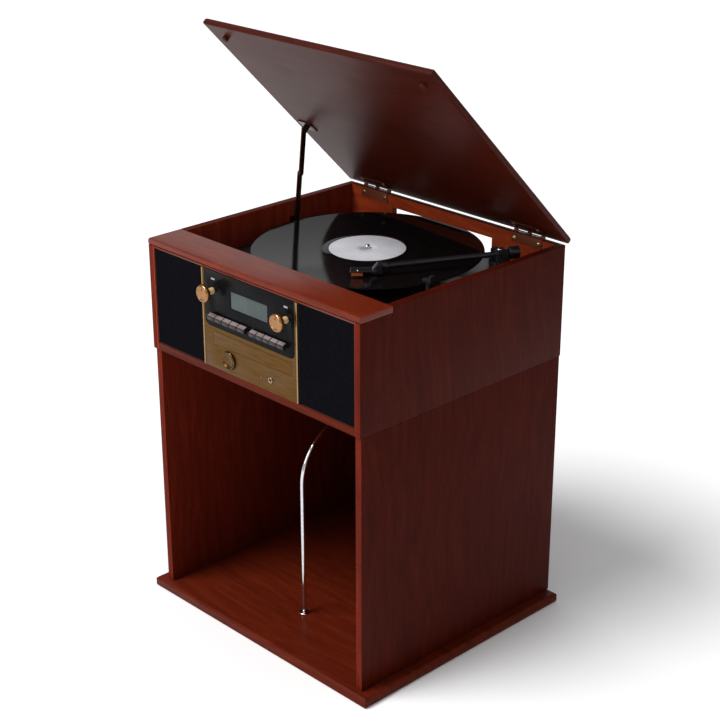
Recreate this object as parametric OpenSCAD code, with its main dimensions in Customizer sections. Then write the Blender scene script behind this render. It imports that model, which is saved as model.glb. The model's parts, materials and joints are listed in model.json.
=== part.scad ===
// Console radio phonograph: a lift-lid cabinet standing on an open record stand.
// Origin on the floor under the middle of the plinth; the front faces -Y, up is +Z.
// The lid is drawn propped open on its folding stay.

/* [Cabinet] */
// outside width of the upper box
body_w = 388; // [340:1:470]
// outside depth of the box
body_d = 358; // [330:1:430]
// height of the open stand above the plinth
stand_h = 346.5; // [280:0.5:420]
// height of the upper box
unit_h = 150.5; // [148:0.5:182]
// thickness of the side boards
panel_t = 10; // [9:0.5:12]
// thickness of the back panels
back_t = 9; // [6:0.5:10]
// thickness of the plinth board
base_t = 13; // [10:0.5:20]
// plinth overhang at each side
base_side = 14; // [6:0.5:20]
// plinth overhang at the front
base_front = 6.6; // [4:0.2:16]
// depth of the fixed board across the top front
strip_d = 52; // [46:1:60]

/* [Lid] */
// lid thickness
lid_t = 9; // [8:0.5:12]
// lid overhang past each side
lid_over = 4; // [2:0.5:8]
// opening angle on the stay, degrees
lid_open = 45.2; // [42:0.2:50]
// distance along the lid from the hinge to the stay
stay_reach = 137; // [130:1:140]

/* [Turntable] */
// record diameter
record_d = 301; // [250:1:302]
// record centre in front of the box's back face
record_back = 145.5; // [140:0.5:150]
// record centre to the left of the middle
record_left = 12.7; // [5:0.1:14]
// record surface below the box top
record_drop = 20; // [18:0.5:22]
// stylus distance from the tonearm pivot
arm_len = 181; // [170:1:190]

/* [Controls] */
// width of the metal fascia between the grilles
fascia_w = 176; // [160:1:180]
// knob disc diameter
knob_d = 23; // [18:0.5:24]
// knob axis to the middle of the fascia
knob_x = 68; // [62:0.5:68]

/* [Record divider] */
// chrome rod diameter
rod_d = 6; // [4:0.5:8]
// bend radius of the rod
rod_bend = 75; // [40:1:80]
// height of the hoop above the plinth
rod_h = 265; // [180:1:270]

/* [Hidden] */
$fn = 96;

// main planes of the cabinet
e = 0.05;                                   // running clearance of a shaft in its bore
g = 0.3;                                    // gap between bodies that move apart
yf = base_front - (body_d + base_front) / 2; // front face of the upper box
yb = yf + body_d;                           // back face
xo = body_w / 2;                            // outer face of the side boards
xi = xo - panel_t;                          // inner face of the side boards
zs = base_t + stand_h;                      // seam between stand and upper box
zt = zs + unit_h;                           // top of the upper box
sx = xo - 1.5;                              // the stand is a little narrower
si = sx - panel_t;
sf = yf + 3;                                // and is set back at the front
bot_t = 10;                                 // bottom board of the upper box
zf = zs + bot_t;                            // bottom of the fascia
nose_t = 8;                                 // full-width nose of the top front board
bead_t = 3;                                 // bead below it, between the sides
zn = zt - nose_t - bead_t;                  // top of the fascia
ys = yf + strip_d;                          // rear edge of the top front board
apron_t = 9;

// turntable
rx = -record_left;
ry = yb - record_back;
rz = zt - record_drop;                      // playing surface
rec_t = 1.8;
mat_t = 2;
platter_t = 8;
deck_t = 6;
zd = rz - rec_t - mat_t - platter_t - 12.2; // top of the deck
platter_r = record_d / 3;
spindle_r = 3.5;

// tonearm: pivot at the back right, arm pointing along local -Y before its turn
ax = xo - 48;
ay = yb - 70;
az = zt - 6.5;                               // arm tube axis
arm_turn = -28.5;                           // over the outer part of the record
park_turn = 24.8;                           // from there to the arm rest
head_z = rz + 7.5;                          // top of the headshell

// lid hinge and stay
hy = yb - 4;
hz = zt + 2.5;
lid_gap = 2.5;                              // hinge axis to the lid's underside
lid_d = hy - yf + 3;                        // lid in front of the hinge axis
lx = stay_reach;
lo = -4;                                    // stay pivot below the hinge plane
function lid_pt(d, h) = [hy - d * cos(lid_open) + h * sin(lid_open),
                         hz + d * sin(lid_open) + h * cos(lid_open)];
sl = lid_pt(lx, lo);                        // stay pivot on the lid
sw = [hy - 113.5, zd + 10];                 // stay pivot on the wall
sd = sqrt(pow(sl[0] - sw[0], 2) + pow(sl[1] - sw[1], 2));
sm_f = 0.542;                               // middle pivot as a share of the way up
sm = sw + (sl - sw) * sm_f;
sx0 = -xi;                                  // left wall, where the stay is fixed

// fascia features
fh = zn - zf;                               // fascia height
fw = fascia_w / 2;
bez_w = fw - 5;                             // half width of the black panel
ctl_w = fw - 10;                            // half width taken by the controls
bez_z = zn - 74;                            // its lower edge
key_z = zn - 60;
knob_z = zn - 27;
lcd_z = zn - 30.25;
tray_z = zn - 88.5;                         // middle of the tray front
btn_z = zn - 112;
keys_per_group = 5;
key_w = 13.2;
key_pitch = 14.1;
function key_x(i) = (i < keys_per_group ? -71 : 7) * ctl_w / 78
  + key_w / 2 + (i % keys_per_group) * (i < keys_per_group ? key_pitch : 12.6);
function key_wide(i) = i < keys_per_group ? key_w : 11.8;

module block(x0, x1, y0, y1, z0, z1)
  translate([x0, y0, z0])
    cube([x1 - x0, y1 - y0, z1 - z0]);

// a profile drawn in Y and Z, run along X
module along_x(x0, x1, pts)
  translate([x0, 0, 0])
    rotate([90, 0, 90])
      linear_extrude(x1 - x0)
        polygon(pts);

// a profile drawn in X and Z, run along Y
module along_y(y0, y1, pts)
  translate([0, y1, 0])
    rotate([90, 0, 0])
      linear_extrude(y1 - y0)
        polygon(pts);

// a rectangle with its corners cut: ct at the top, cb at the bottom
function cut_rect(a0, a1, b0, b1, ct, cb) =
  [[a0 + cb, b0], [a1 - cb, b0], [a1, b0 + cb], [a1, b1 - ct],
   [a1 - ct, b1], [a0 + ct, b1], [a0, b1 - ct], [a0, b0 + cb]];

// a board with eased edges all round
module eased_board(x0, x1, y0, y1, z0, z1, ct, cb)
  intersection() {
    along_x(x0, x1, cut_rect(y0, y1, z0, z1, ct, cb));
    along_y(y0, y1, cut_rect(x0, x1, z0, z1, ct, cb));
  }

// a cylinder along Y from y0 to y1
module rod_y(x, z, r, y0, y1)
  translate([x, y1, z])
    rotate([90, 0, 0])
      cylinder(r = r, h = y1 - y0);

// a cylinder along X from x0 to x1
module rod_x(y, z, r, x0, x1)
  translate([x0, y, z])
    rotate([0, 90, 0])
      cylinder(r = r, h = x1 - x0);

module disc(x, y, r, z0, z1)
  translate([x, y, z0])
    cylinder(r = r, h = z1 - z0);

module mirrored_x() {
  children();
  mirror([1, 0, 0])
    children();
}

// ---- stand -------------------------------------------------------------

wood = "#6b2412";

module base_plate()
  color(wood)
    difference() {
      eased_board(-xo - base_side, xo + base_side, -yb, yb, 0, base_t, 2.5, 1);
      for (y = rod_feet)
        disc(rod_x0, y, rod_d / 2 - 0.5, base_t - 8, base_t + 1);
    }

module stand_side()
  block(si, sx, sf, yb, base_t, zs);

module stand_left_side()
  color(wood)
    mirror([1, 0, 0])
      stand_side();

module stand_right_side()
  color(wood)
    stand_side();

module stand_back_panel()
  color(wood)
    block(-si, si, yb - back_t, yb, base_t, zs);

// chrome hoop that keeps the records upright
rod_x0 = 6;
rod_feet = [yf + 77, yb - 68];
rod_r = rod_d / 2;
rod_z = base_t + rod_h - rod_bend;

module rod_corner(y, turn)
  translate([rod_x0, y, rod_z])
    rotate([0, 0, turn])
      rotate([90, 0, 90])
        rotate_extrude(angle = 90)
          translate([rod_bend, 0])
            circle(rod_r);

module record_divider()
  color("#d8d8dc") {
    for (y = rod_feet) {
      disc(rod_x0, y, rod_r - 0.5, base_t - 7.5, base_t + 2);
      disc(rod_x0, y, rod_r, base_t + 2, rod_z);
      disc(rod_x0, y, rod_r + 4, base_t, base_t + 2);
    }
    rod_corner(rod_feet[1] - rod_bend, 0);
    rod_corner(rod_feet[0] + rod_bend, 180);
    rod_y(rod_x0, rod_z + rod_bend, rod_r, rod_feet[0] + rod_bend, rod_feet[1] - rod_bend);
  }

// ---- upper box -----------------------------------------------------------

module unit_side()
  difference() {
    block(xi, xo, yf, yb, zs, zt);
    block(xi - 1, xo + 1, yf - 1, ys, zt - nose_t, zt + 1);
  }

module unit_left_side()
  color(wood)
    mirror([1, 0, 0])
      unit_side();

module unit_right_side()
  color(wood)
    unit_side();

module unit_bottom_board()
  color(wood)
    block(-xi, xi, yf, yb - back_t, zs, zf);

// the record reaches out through a slot in the back panel
slot_w = sqrt(max(pow(record_d / 2 + 4, 2) - pow(record_back - back_t, 2), 0)) + 18.6;
slot_z0 = zd + 1;
slot_z1 = rz + 3;
sock_x = 90;
sock_z = zf + 42;

module unit_back_panel()
  color(wood)
    difference() {
      block(-xi, xi, yb - back_t, yb, zs, zt);
      block(rx - slot_w, rx + slot_w, yb - back_t - 1, yb + 1, slot_z0, slot_z1);
      block(sock_x - 42, sock_x + 42, yb - back_t - 1, yb + 1, sock_z - 17, sock_z + 17);
      for (i = [0:6])
        block(-130 + i * 18, -122 + i * 18, yb - back_t - 1, yb + 1, zf + 20, zf + 60);
    }

// the nose board across the front and the apron that closes the well
module front_top_board()
  color(wood)
    union() {
      intersection() {
        along_x(-xo, xo, [[ys, zt - nose_t], [ys, zt], [yf + 3, zt], [yf + 0.9, zt - 0.9],
          [yf, zt - 3], [yf, zt - nose_t + 1.2], [yf + 1.2, zt - nose_t]]);
        along_y(yf - 1, ys, cut_rect(-xo, xo, zt - nose_t, zt, 1, 0.2));
      }
      along_x(-xi, xi, [[ys, zt - nose_t - 1], [ys, zt - nose_t + 1], [yf + 2, zt - nose_t + 1],
        [yf + 2, zn + bead_t - 0.7], [yf + 0.8, zn + bead_t - 1], [yf + 0.4, zn + 1.5],
        [yf + 1, zn], [yf + 12, zn], [yf + 12, zt - nose_t - 1]]);
      block(-xi, xi, ys - apron_t, ys, zd - deck_t, zt - nose_t + 1);
    }

cleat = 12;

module deck_cleats()
  color("#b08a5a")
    mirrored_x()
      block(xi - cleat, xi, ys - apron_t, yb - back_t, zd - deck_t - cleat, zd - deck_t);

// ---- front ---------------------------------------------------------------

gx0 = fw + 0.2;                             // grille, fascia edge to side board
gx1 = xi - 0.2;
spk_x = (fw + xi) / 2;
spk_z = zf + 60;
spk_r = min(40, (xi - fw) / 2 - 8);
grille_y = yf + 1.8;
frame_t = 5;

module grille_right()
  color("#15181d")
    difference() {
      block(gx0, gx1, grille_y, grille_y + frame_t, zf + 0.2, zn - 0.2);
      block(gx0 + 8, gx1 - 8, grille_y + 1.2, grille_y + frame_t + 1, zf + 8, zn - 8);
    }

module grille_left()
  color("#15181d")
    mirror([1, 0, 0])
      grille_right();

baf_y = grille_y + frame_t;
baf_t = 9;

module speaker_baffles()
  color("#9c7648")
    mirrored_x()
      difference() {
        block(gx0, gx1, baf_y, baf_y + baf_t, zf, zn);
        rod_y(spk_x, spk_z, spk_r - 4, baf_y - 1, baf_y + baf_t + 1);
      }

// cone driver: frame, cone, dust cap and magnet turned about its axis
module speaker()
  translate([spk_x, baf_y + baf_t, spk_z])
    rotate([-90, 0, 0])
      rotate_extrude()
        polygon([[0, 13], [9, 15], [10, 16], [spk_r - 10, 2], [spk_r - 4.5, 0],
          [spk_r + 2, 0], [spk_r + 2, 2], [spk_r - 4, 2], [14, 19], [24, 19], [24, 31],
          [8, 31], [8, 33], [0, 33]]);

module speakers()
  color("#202020")
    mirrored_x()
      speaker();

fas_t = 4;

module fascia()
  color("#8a6a34")
    difference() {
      block(-fw, fw, yf, yf + fas_t, zf, zn);
      block(-bez_w, bez_w, yf - 1, yf + fas_t + 1, bez_z + 8, zn + 1);
      block(-bez_w + 8, bez_w - 8, yf - 1, yf + fas_t + 1, bez_z, bez_z + 9);
      for (s = [-1, 1])
        rod_y(s * (bez_w - 8), bez_z + 8, 8, yf - 1, yf + fas_t + 1);
      block(-tray_w - g, tray_w2 + g, yf - 1, yf + fas_t + 1, tray_z - 8.5 - g, tray_z + 8.5 + g);
      rod_y(btn_x, btn_z, btn_r + g, yf - 1, yf + fas_t + 1);
      rod_y(jack_x, btn_z - 2, 5, yf - 1, yf + fas_t + 1);
      rod_y(led_x, btn_z - 3, 2, yf - 1, yf + fas_t + 1);
    }

// black panel with rounded lower corners
module display_bezel()
  color("#101114")
    difference() {
      union() {
        block(-bez_w + g / 2, bez_w - g / 2, yf + 0.3, yf + fas_t, bez_z + 8, zn);
        block(-bez_w + 8, bez_w - 8, yf + 0.3, yf + fas_t, bez_z + g / 2, bez_z + 9);
        for (s = [-1, 1])
          rod_y(s * (bez_w - 8), bez_z + 8, 8 - g / 2, yf + 0.3, yf + fas_t);
      }
      block(-34, 34, yf - 1, yf + fas_t + 1, lcd_z - 11.25, lcd_z + 11.25);
      for (s = [-1, 1])
        rod_y(s * knob_x, knob_z, 5.2, yf - 1, yf + fas_t + 1);
      for (i = [0:2 * keys_per_group - 1])
        block(key_x(i) - 4.3, key_x(i) + 4.3, yf - 1, yf + fas_t + 1, key_z - 2.3, key_z + 2.3);
    }

module lcd_window()
  color("#5f6e6c")
    block(-34, 34, yf + 1.2, yf + 3.2, lcd_z - 11.25, lcd_z + 11.25);

pcb_y = yf + 13;
enc_y = yf + fas_t + 1;

module front_board()
  color("#1e5a38")
    difference() {
      union() {
        block(-ctl_w + 3, ctl_w - 3, pcb_y, pcb_y + 1.6, bez_z + 6, zn - 3);
        block(-38, 38, yf + fas_t, pcb_y, lcd_z - 14, lcd_z + 14);
        for (s = [-1, 1])
          block(s * knob_x - 6, s * knob_x + 6, enc_y, pcb_y, knob_z - 6, knob_z + 6);
      }
      for (s = [-1, 1])
        rod_y(s * knob_x, knob_z, 3 + e, enc_y - 1, enc_y + 7);
    }

// turned knob: stepped disc on a plain stem, with its spindle behind
module knob(x)
  translate([x, yf, knob_z])
    rotate([90, 0, 0])
      rotate_extrude()
        polygon([[0, -enc_y + yf - 6.5], [3, -enc_y + yf - 6.5], [3, -3], [4.2, -3],
          [4.2, 9], [5.6, 10.2], [knob_d / 2 - 1.4, 11], [knob_d / 2, 12.4],
          [knob_d / 2, 15.2], [knob_d / 2 - 1.8, 17], [knob_d / 2 - 3.2, 17.3],
          [knob_d / 2 - 3.8, 16.6], [0, 16.2]]);

module volume_knob()
  color("#a8794a")
    knob(-knob_x);

module tuning_knob()
  color("#a8794a")
    knob(knob_x);

// piano key with a sloping top; its stem runs back through the panel
module key(i)
  color("#8d8388")
    union() {
      along_x(key_x(i) - key_wide(i) / 2, key_x(i) + key_wide(i) / 2,
        [[yf - 2, key_z + 4.6], [yf - 7, key_z + 2.2], [yf - 7.6, key_z + 1.2],
         [yf - 7.2, key_z - 2.6], [yf - 6.4, key_z - 3.8], [yf - 2, key_z - 4.4]]);
      block(key_x(i) - 4, key_x(i) + 4, yf - 3, pcb_y - 2.5, key_z - 2, key_z + 2);
    }

module key_1() key(0);
module key_2() key(1);
module key_3() key(2);
module key_4() key(3);
module key_5() key(4);
module key_6() key(5);
module key_7() key(6);
module key_8() key(7);
module key_9() key(8);
module key_10() key(9);

// disc drawer under the black panel
tray_w = 68 * ctl_w / 78;
tray_w2 = 77 * ctl_w / 78;
tray_x = (tray_w2 - tray_w) / 2;
tray_r = 64;
tray_y1 = yf + 150;

module cd_tray()
  color("#8a6a34")
    difference() {
      union() {
        block(-tray_w, tray_w2, yf - 0.2, yf + 3, tray_z - 8.5, tray_z + 8.5);
        block(tray_x - tray_r, tray_x + tray_r, yf + 2, tray_y1, tray_z - 5, tray_z - 1);
      }
      disc(tray_x, yf + 78, 60.5, tray_z - 3, tray_z);
      disc(tray_x, yf + 78, 17, tray_z - 6, tray_z);
      block(tray_x - 12, tray_x + 12, yf + 78, tray_y1 + 1, tray_z - 6, tray_z);
    }

module cd_mechanism()
  color("#2c2c2e")
    difference() {
      block(tray_x - tray_r - 4, tray_x + tray_r + 4, yf + fas_t + 0.5, tray_y1 + 8, zf, tray_z + 8);
      block(tray_x - tray_r - g, tray_x + tray_r + g, yf, tray_y1 + g, tray_z - 5 - g, tray_z + 5);
      block(tray_x - tray_r, tray_x + tray_r, yf, tray_y1 + 9, zf - 1, tray_z - 9);
    }

btn_x = -40 * ctl_w / 78;
btn_r = 12;
jack_x = 38 * ctl_w / 78;
led_x = 21 * ctl_w / 78;

// round dished button
module open_button()
  color("#9a7a40")
    translate([btn_x, yf, btn_z])
      rotate([90, 0, 0])
        rotate_extrude()
          polygon([[0, -9], [4, -9], [4, -3.5], [btn_r, -3.5], [btn_r, 1.6],
            [btn_r - 1.2, 2.4], [btn_r - 2.4, 1.8], [btn_r - 4, 0.4], [0, -0.6]]);

module headphone_jack()
  color("#26221c")
    translate([jack_x, yf, btn_z - 2])
      rotate([90, 0, 0])
        rotate_extrude()
          polygon([[1.8, 0.8], [4.4, 0.8], [4.9, 0.3], [4.9, -fas_t], [6.5, -fas_t], [6.5, -6],
            [4, -6], [4, -18], [0, -18], [0, -12], [1.8, -12]]);

module indicator_led()
  color("#7a1410")
    translate([led_x, yf, btn_z - 3])
      rotate([90, 0, 0])
        rotate_extrude()
          polygon([[0, 1.1], [1.1, 0.8], [1.9, 0], [1.9, -fas_t], [3, -fas_t], [3, -8], [0, -8]]);

module transformer()
  color("#5a5a5c")
    union() {
      block(95, 145, yb - 95, yb - 55, zf, zf + 34);
      block(101, 139, yb - 105, yb - 45, zf + 6, zf + 28);
    }

// sockets and mains inlet at the back
module rear_socket_plate()
  color("#1a1a1a")
    difference() {
      union() {
        block(sock_x - 42, sock_x + 42, yb - back_t, yb - 2, sock_z - 17, sock_z + 17);
        for (i = [0:1])
          rod_y(sock_x - 28 + i * 16, sock_z + 4, 4.4, yb - 3, yb - 0.2);
      }
      for (i = [0:1])
        rod_y(sock_x - 28 + i * 16, sock_z + 4, 1.7, yb - 8, yb + 1);
      block(sock_x + 10, sock_x + 32, yb - 8, yb + 1, sock_z - 6, sock_z + 6);
    }

// ---- turntable -------------------------------------------------------------

module deck_plate()
  color("#141416")
    difference() {
      block(-xi + 0.3, xi - 0.3, ys + 0.3, yb - back_t - 0.3, zd - deck_t, zd);
      disc(rx, ry, 8, zd - deck_t - 1, zd + 1);
      disc(ax, ay, 5 + e, zd - deck_t - 1, zd + 1);
    }

module platter()
  color("#8f9092")
    translate([rx, ry, 0])
      rotate_extrude()
        polygon([[0, rz + 5], [spindle_r - 1.5, rz + 5], [spindle_r, rz + 3.4],
          [spindle_r, rz - rec_t - mat_t], [platter_r, rz - rec_t - mat_t],
          [platter_r, zd + 5], [platter_r - 4, zd + 5], [platter_r - 4, zd + 14],
          [14, zd + 14], [14, zd + 4], [4, zd + 4], [4, zd - 14], [0, zd - 14]]);

module platter_mat()
  color("#1c1c1e")
    translate([rx, ry, rz - rec_t - mat_t])
      difference() {
        cylinder(r = platter_r - 1, h = mat_t);
        translate([0, 0, -1])
          cylinder(r = spindle_r + e, h = mat_t + 2);
      }

// vinyl disc with a raised rim bead and a paper label set into it
label_r = 50;

module record()
  color("#0c0c0d")
    translate([rx, ry, 0])
      rotate_extrude()
        polygon([[spindle_r + e, rz - rec_t], [record_d / 2 - 0.6, rz - rec_t],
          [record_d / 2, rz - rec_t / 2], [record_d / 2 - 0.6, rz],
          [record_d / 2 - 3.5, rz - 0.3], [label_r + 6, rz - 0.3], [label_r + 1, rz],
          [spindle_r + e, rz]]);

module motor()
  color("#4a4b4e")
    difference() {
      union() {
        disc(rx, ry, 22, zd - deck_t - 18, zd - deck_t);
        disc(rx, ry, 7.5, zd - deck_t - 1, zd + 1);
      }
      disc(rx, ry, 4 + e, zd - deck_t - 15, zd + 2);
    }

module arm_base()
  color("#16171a")
    union() {
      disc(ax, ay, 20, zd, zd + 5);
      disc(ax, ay, 13, zd + 4, az - 14);
      difference() {
        disc(ax, ay, 5, zd - deck_t - 3, zd + 1);
        disc(ax, ay, 3, zd - deck_t - 4, zd - 4);
      }
      disc(ax, ay, 4, az - 15, az - 8);
      block(ax - 6, ax + 6, cue_y - 5, ay - 12, zd, zd + 9);
      difference() {
        block(ax - 6, ax + 6, cue_y - 5, cue_y + 5, zd + 8, cue_z + 4);
        rod_x(cue_y, cue_z, 1.5 + e, ax - 7, ax + 7);
      }
    }

// yoke that turns on the base and holds the arm between two cheeks
module arm_gimbal()
  color("#1b1c20")
    translate([ax, ay, 0])
      rotate([0, 0, arm_turn])
        difference() {
          union() {
            disc(0, 0, 13.5, az - 13.7, az - 8.5);
            for (s = [-1, 1])
              block(min(s * 8, s * 11.5), max(s * 8, s * 11.5), -8, 8, az - 9, az + 4.4);
          }
          disc(0, 0, 4 + e, az - 15, az - 7.7);
          rod_x(0, az, 2 + e, -12, 12);
        }

module arm_frame()
  translate([ax, ay, 0])
    rotate([0, 0, arm_turn])
      children();

tube_r = 3.5;
tube_end = arm_len - 35;
arm_dip = 0.8;
head_turn = -15;
neck = 6;
tube_z = az - tube_end * sin(arm_dip);

module arm_tube()
  color("#202126")
    arm_frame()
      union() {
        rod_x(0, az, 2, -11.2, 11.2);
        rod_x(0, az, 6.2, -7.5, 7.5);
        translate([0, -tube_end * cos(arm_dip), az - tube_end * sin(arm_dip)])
          rotate([-90 + arm_dip, 0, 0])
            cylinder(r = tube_r, h = tube_end);
        head_frame()
          rod_y(0, tube_z, tube_r + 1, -neck, 1);
        rod_y(0, az, 5, 0, 11);
        rod_y(0, az, 3, 10, 26);
      }

// the headshell is offset towards the spindle from the end of the tube
module head_frame()
  translate([0, -tube_end * cos(arm_dip), 0])
    rotate([0, 0, head_turn])
      children();

module headshell()
  color("#17181b")
    arm_frame()
      head_frame()
        union() {
          along_x(-8.5, 8.5, [[-46, head_z - 1.9], [-45, head_z - 0.6], [-20, head_z],
            [-13, head_z], [-13, head_z - 4], [-20, head_z - 4], [-21, head_z - 1.9]]);
          along_x(-6, 6, [[-neck, tube_z + 4.5], [-12, tube_z + 4.2], [-19, head_z - 0.5],
            [-19, head_z - 5], [-neck, head_z - 5]]);
        }

module cartridge()
  color("#b8531f")
    arm_frame()
      head_frame()
        union() {
          block(-7.5, 7.5, -44, -30, head_z - 6.4, head_z - 1.9);
          translate([0, -38, rz + 0.3])
            cylinder(r1 = 0.2, r2 = 1.2, h = head_z - 6.2 - rz);
        }

module counterweight()
  color("#2a2b30")
    arm_frame()
      difference() {
        rod_y(0, az, 8, 11.5, 25);
        rod_y(0, az, 3, 10, 27);
      }

// post that the arm is parked on
rest_a = arm_turn + park_turn;
rest_x = ax + 120 * sin(rest_a);
rest_y = ay - 120 * cos(rest_a);
rest_top = az - 120 * tan(arm_dip) - tube_r - 0.4;

module arm_rest()
  color("#232428")
    union() {
      disc(rest_x, rest_y, 7, zd, zd + 2);
      disc(rest_x, rest_y, 3.4, zd + 1, rest_top - 3);
      translate([rest_x, rest_y, 0])
        rotate([0, 0, rest_a])
          union() {
            block(-8, 7.5, -3.4, 3.4, rest_top - 4, rest_top);
            block(tube_r + 0.5, 7.5, -3.4, 3.4, rest_top - 1, rest_top + 6);
          }
    }

// lever that works the arm lift
cue_y = ay - 30;
cue_z = zd + 13;

module cue_lever()
  color("#303136")
    union() {
      rod_x(cue_y, cue_z, 3, ax + 7, ax + 12);
      rod_x(cue_y, cue_z, 1.5, ax - 5, ax + 8);
      along_x(ax + 8, ax + 11.5, [[cue_y - 1, cue_z - 2], [cue_y - 26, cue_z + 3],
        [cue_y - 30, cue_z + 4], [cue_y - 30, cue_z + 6], [cue_y - 25, cue_z + 6],
        [cue_y - 1, cue_z + 2]]);
    }

// ---- lid, hinges and stay ----------------------------------------------------

// places a shape drawn with the lid shut and the hinge axis at the origin
module on_lid()
  translate([0, hy, hz])
    rotate([-lid_open, 0, 0])
      children();

module lid()
  color(wood)
    on_lid()
      eased_board(-xo - lid_over, xo + lid_over, -lid_d, yb - hy, lid_gap, lid_gap + lid_t, 2.2, 1.2);

bump_h = lid_gap + hz - zt - 0.3;

module lid_bumpers()
  color("#1a1210")
    on_lid()
      mirrored_x()
        disc(xo - 22, -lid_d + 24, 4, lid_gap - bump_h, lid_gap);

hinge_x = xo * 0.583;                         // inner end of each hinge
hinge_w = 50;
leaf_t = 1.2;
knuckle = 5;
bar_r = 2.1;
pin_r = 0.8;
yi = yb - back_t;

module knuckle_ring(x0, x1)
  rod_x(0, 0, bar_r, x0, x1);

// cranked leaves screwed to the inside of the back panel, with their pins
module hinge_leaves_fixed()
  color("#4a3a24")
    mirrored_x()
      translate([hinge_x, 0, 0])
        union() {
          for (x = [0, hinge_w - knuckle])
            translate([x, hy, hz])
              knuckle_ring(0, knuckle);
          rod_x(hy, hz, pin_r, 0.5, hinge_w - 0.5);
          for (x = [0, hinge_w - knuckle])
            block(x, x + knuckle, hy - 1, hy + 1, zt, hz);
          for (x = [0, hinge_w - knuckle])
            block(x, x + knuckle, yi - leaf_t, hy + 1, zt, zt + 0.9);
          block(0, hinge_w, yi - leaf_t, yi, zt - 12, zt + 0.9);
        }

module hinge_leaves_lid()
  color("#4a3a24")
    on_lid()
      mirrored_x()
        translate([hinge_x, 0, 0])
          difference() {
            union() {
              knuckle_ring((hinge_w - knuckle) / 2, (hinge_w + knuckle) / 2);
              block((hinge_w - knuckle) / 2, (hinge_w + knuckle) / 2, -1.4, 0.6, 0, lid_gap);
              block(0.4, hinge_w - 0.4, -18, -4.2, lid_gap - leaf_t, lid_gap);
              block((hinge_w - knuckle) / 2, (hinge_w + knuckle) / 2, -5, 0.5, lid_gap - leaf_t, lid_gap);
            }
            rod_x(0, 0, pin_r + e, 0, hinge_w);
          }

module hinge_screws()
  color("#b08d57")
    mirrored_x()
      for (x = [5, hinge_w - 5])
        translate([hinge_x + x, 0, 0])
          union() {
            rod_y(0, zt - 6, 3, yi - leaf_t - 1, yi - leaf_t);
          }

// folding stay at the left: two flat arms side by side
arm_t = 2;
arm_r = 4;
low_x = sx0 + 2.8;                            // lower arm next to the wall
up_x = low_x + arm_t + g;

// flat bar with round ends between two pivots, bored at its fixed end
module stay_bar(x, a, b, bore)
  difference() {
    union() {
      translate([x, a[0], a[1]])
        rotate([atan2(b[1] - a[1], b[0] - a[0]), 0, 0])
          translate([0, 0, -arm_r])
            cube([arm_t, sqrt(pow(b[0] - a[0], 2) + pow(b[1] - a[1], 2)), 2 * arm_r]);
      rod_x(a[0], a[1], arm_r, x, x + arm_t);
      rod_x(b[0], b[1], arm_r, x, x + arm_t);
    }
    rod_x(bore[0], bore[1], 2 + e, x - 1, x + arm_t + 1);
  }

module stay_lower_arm()
  color("#2a2420")
    union() {
      stay_bar(low_x, sw, sm, sw);
      rod_x(sm[0], sm[1], 3, low_x - 0.8, low_x);
    }

module stay_upper_arm()
  color("#2a2420")
    union() {
      stay_bar(up_x, sm, sl, sl);
      rod_x(sm[0], sm[1], 3, up_x + arm_t, up_x + arm_t + 1);
    }

module stay_wall_bracket()
  color("#2a2420")
    union() {
      block(sx0, sx0 + 1.5, sw[0] - 9, sw[0] + 9, sw[1] - 9, sw[1] + 12);
      rod_x(sw[0], sw[1], 3.4, sx0 + 1, low_x - 0.3);
      rod_x(sw[0], sw[1], 2, sx0 + 1, low_x + arm_t + 0.2);
      rod_x(sw[0], sw[1], 3.2, low_x + arm_t + 0.1, low_x + arm_t + 0.9);
    }

module stay_lid_bracket()
  color("#2a2420")
    on_lid()
      union() {
        block(up_x - 9, up_x + 16, -lx - 9, -lx + 9, lid_gap - 1.4, lid_gap);
        block(up_x + arm_t + 0.4, up_x + arm_t + 2, -lx - 5, -lx + 5, lo - 4, lid_gap - 1);
        rod_x(-lx, lo, 2, up_x - 0.2, up_x + arm_t + 1);
        rod_x(-lx, lo, 3.2, up_x - 0.9, up_x - 0.1);
      }

// the parts
base_plate();
stand_left_side();
stand_right_side();
stand_back_panel();
record_divider();
unit_left_side();
unit_right_side();
unit_bottom_board();
unit_back_panel();
front_top_board();
deck_cleats();
grille_left();
grille_right();
speaker_baffles();
speakers();
fascia();
display_bezel();
lcd_window();
volume_knob();
tuning_knob();
front_board();
key_1();
key_2();
key_3();
key_4();
key_5();
key_6();
key_7();
key_8();
key_9();
key_10();
cd_tray();
cd_mechanism();
open_button();
headphone_jack();
indicator_led();
transformer();
rear_socket_plate();
deck_plate();
platter();
platter_mat();
record();
motor();
arm_base();
arm_gimbal();
arm_tube();
headshell();
cartridge();
counterweight();
arm_rest();
cue_lever();
hinge_leaves_fixed();
hinge_leaves_lid();
hinge_screws();
lid();
lid_bumpers();
stay_wall_bracket();
stay_lid_bracket();
stay_lower_arm();
stay_upper_arm();
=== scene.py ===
import json
import math

import bmesh
import bpy
import numpy as np
from mathutils import Matrix, Vector


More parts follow.
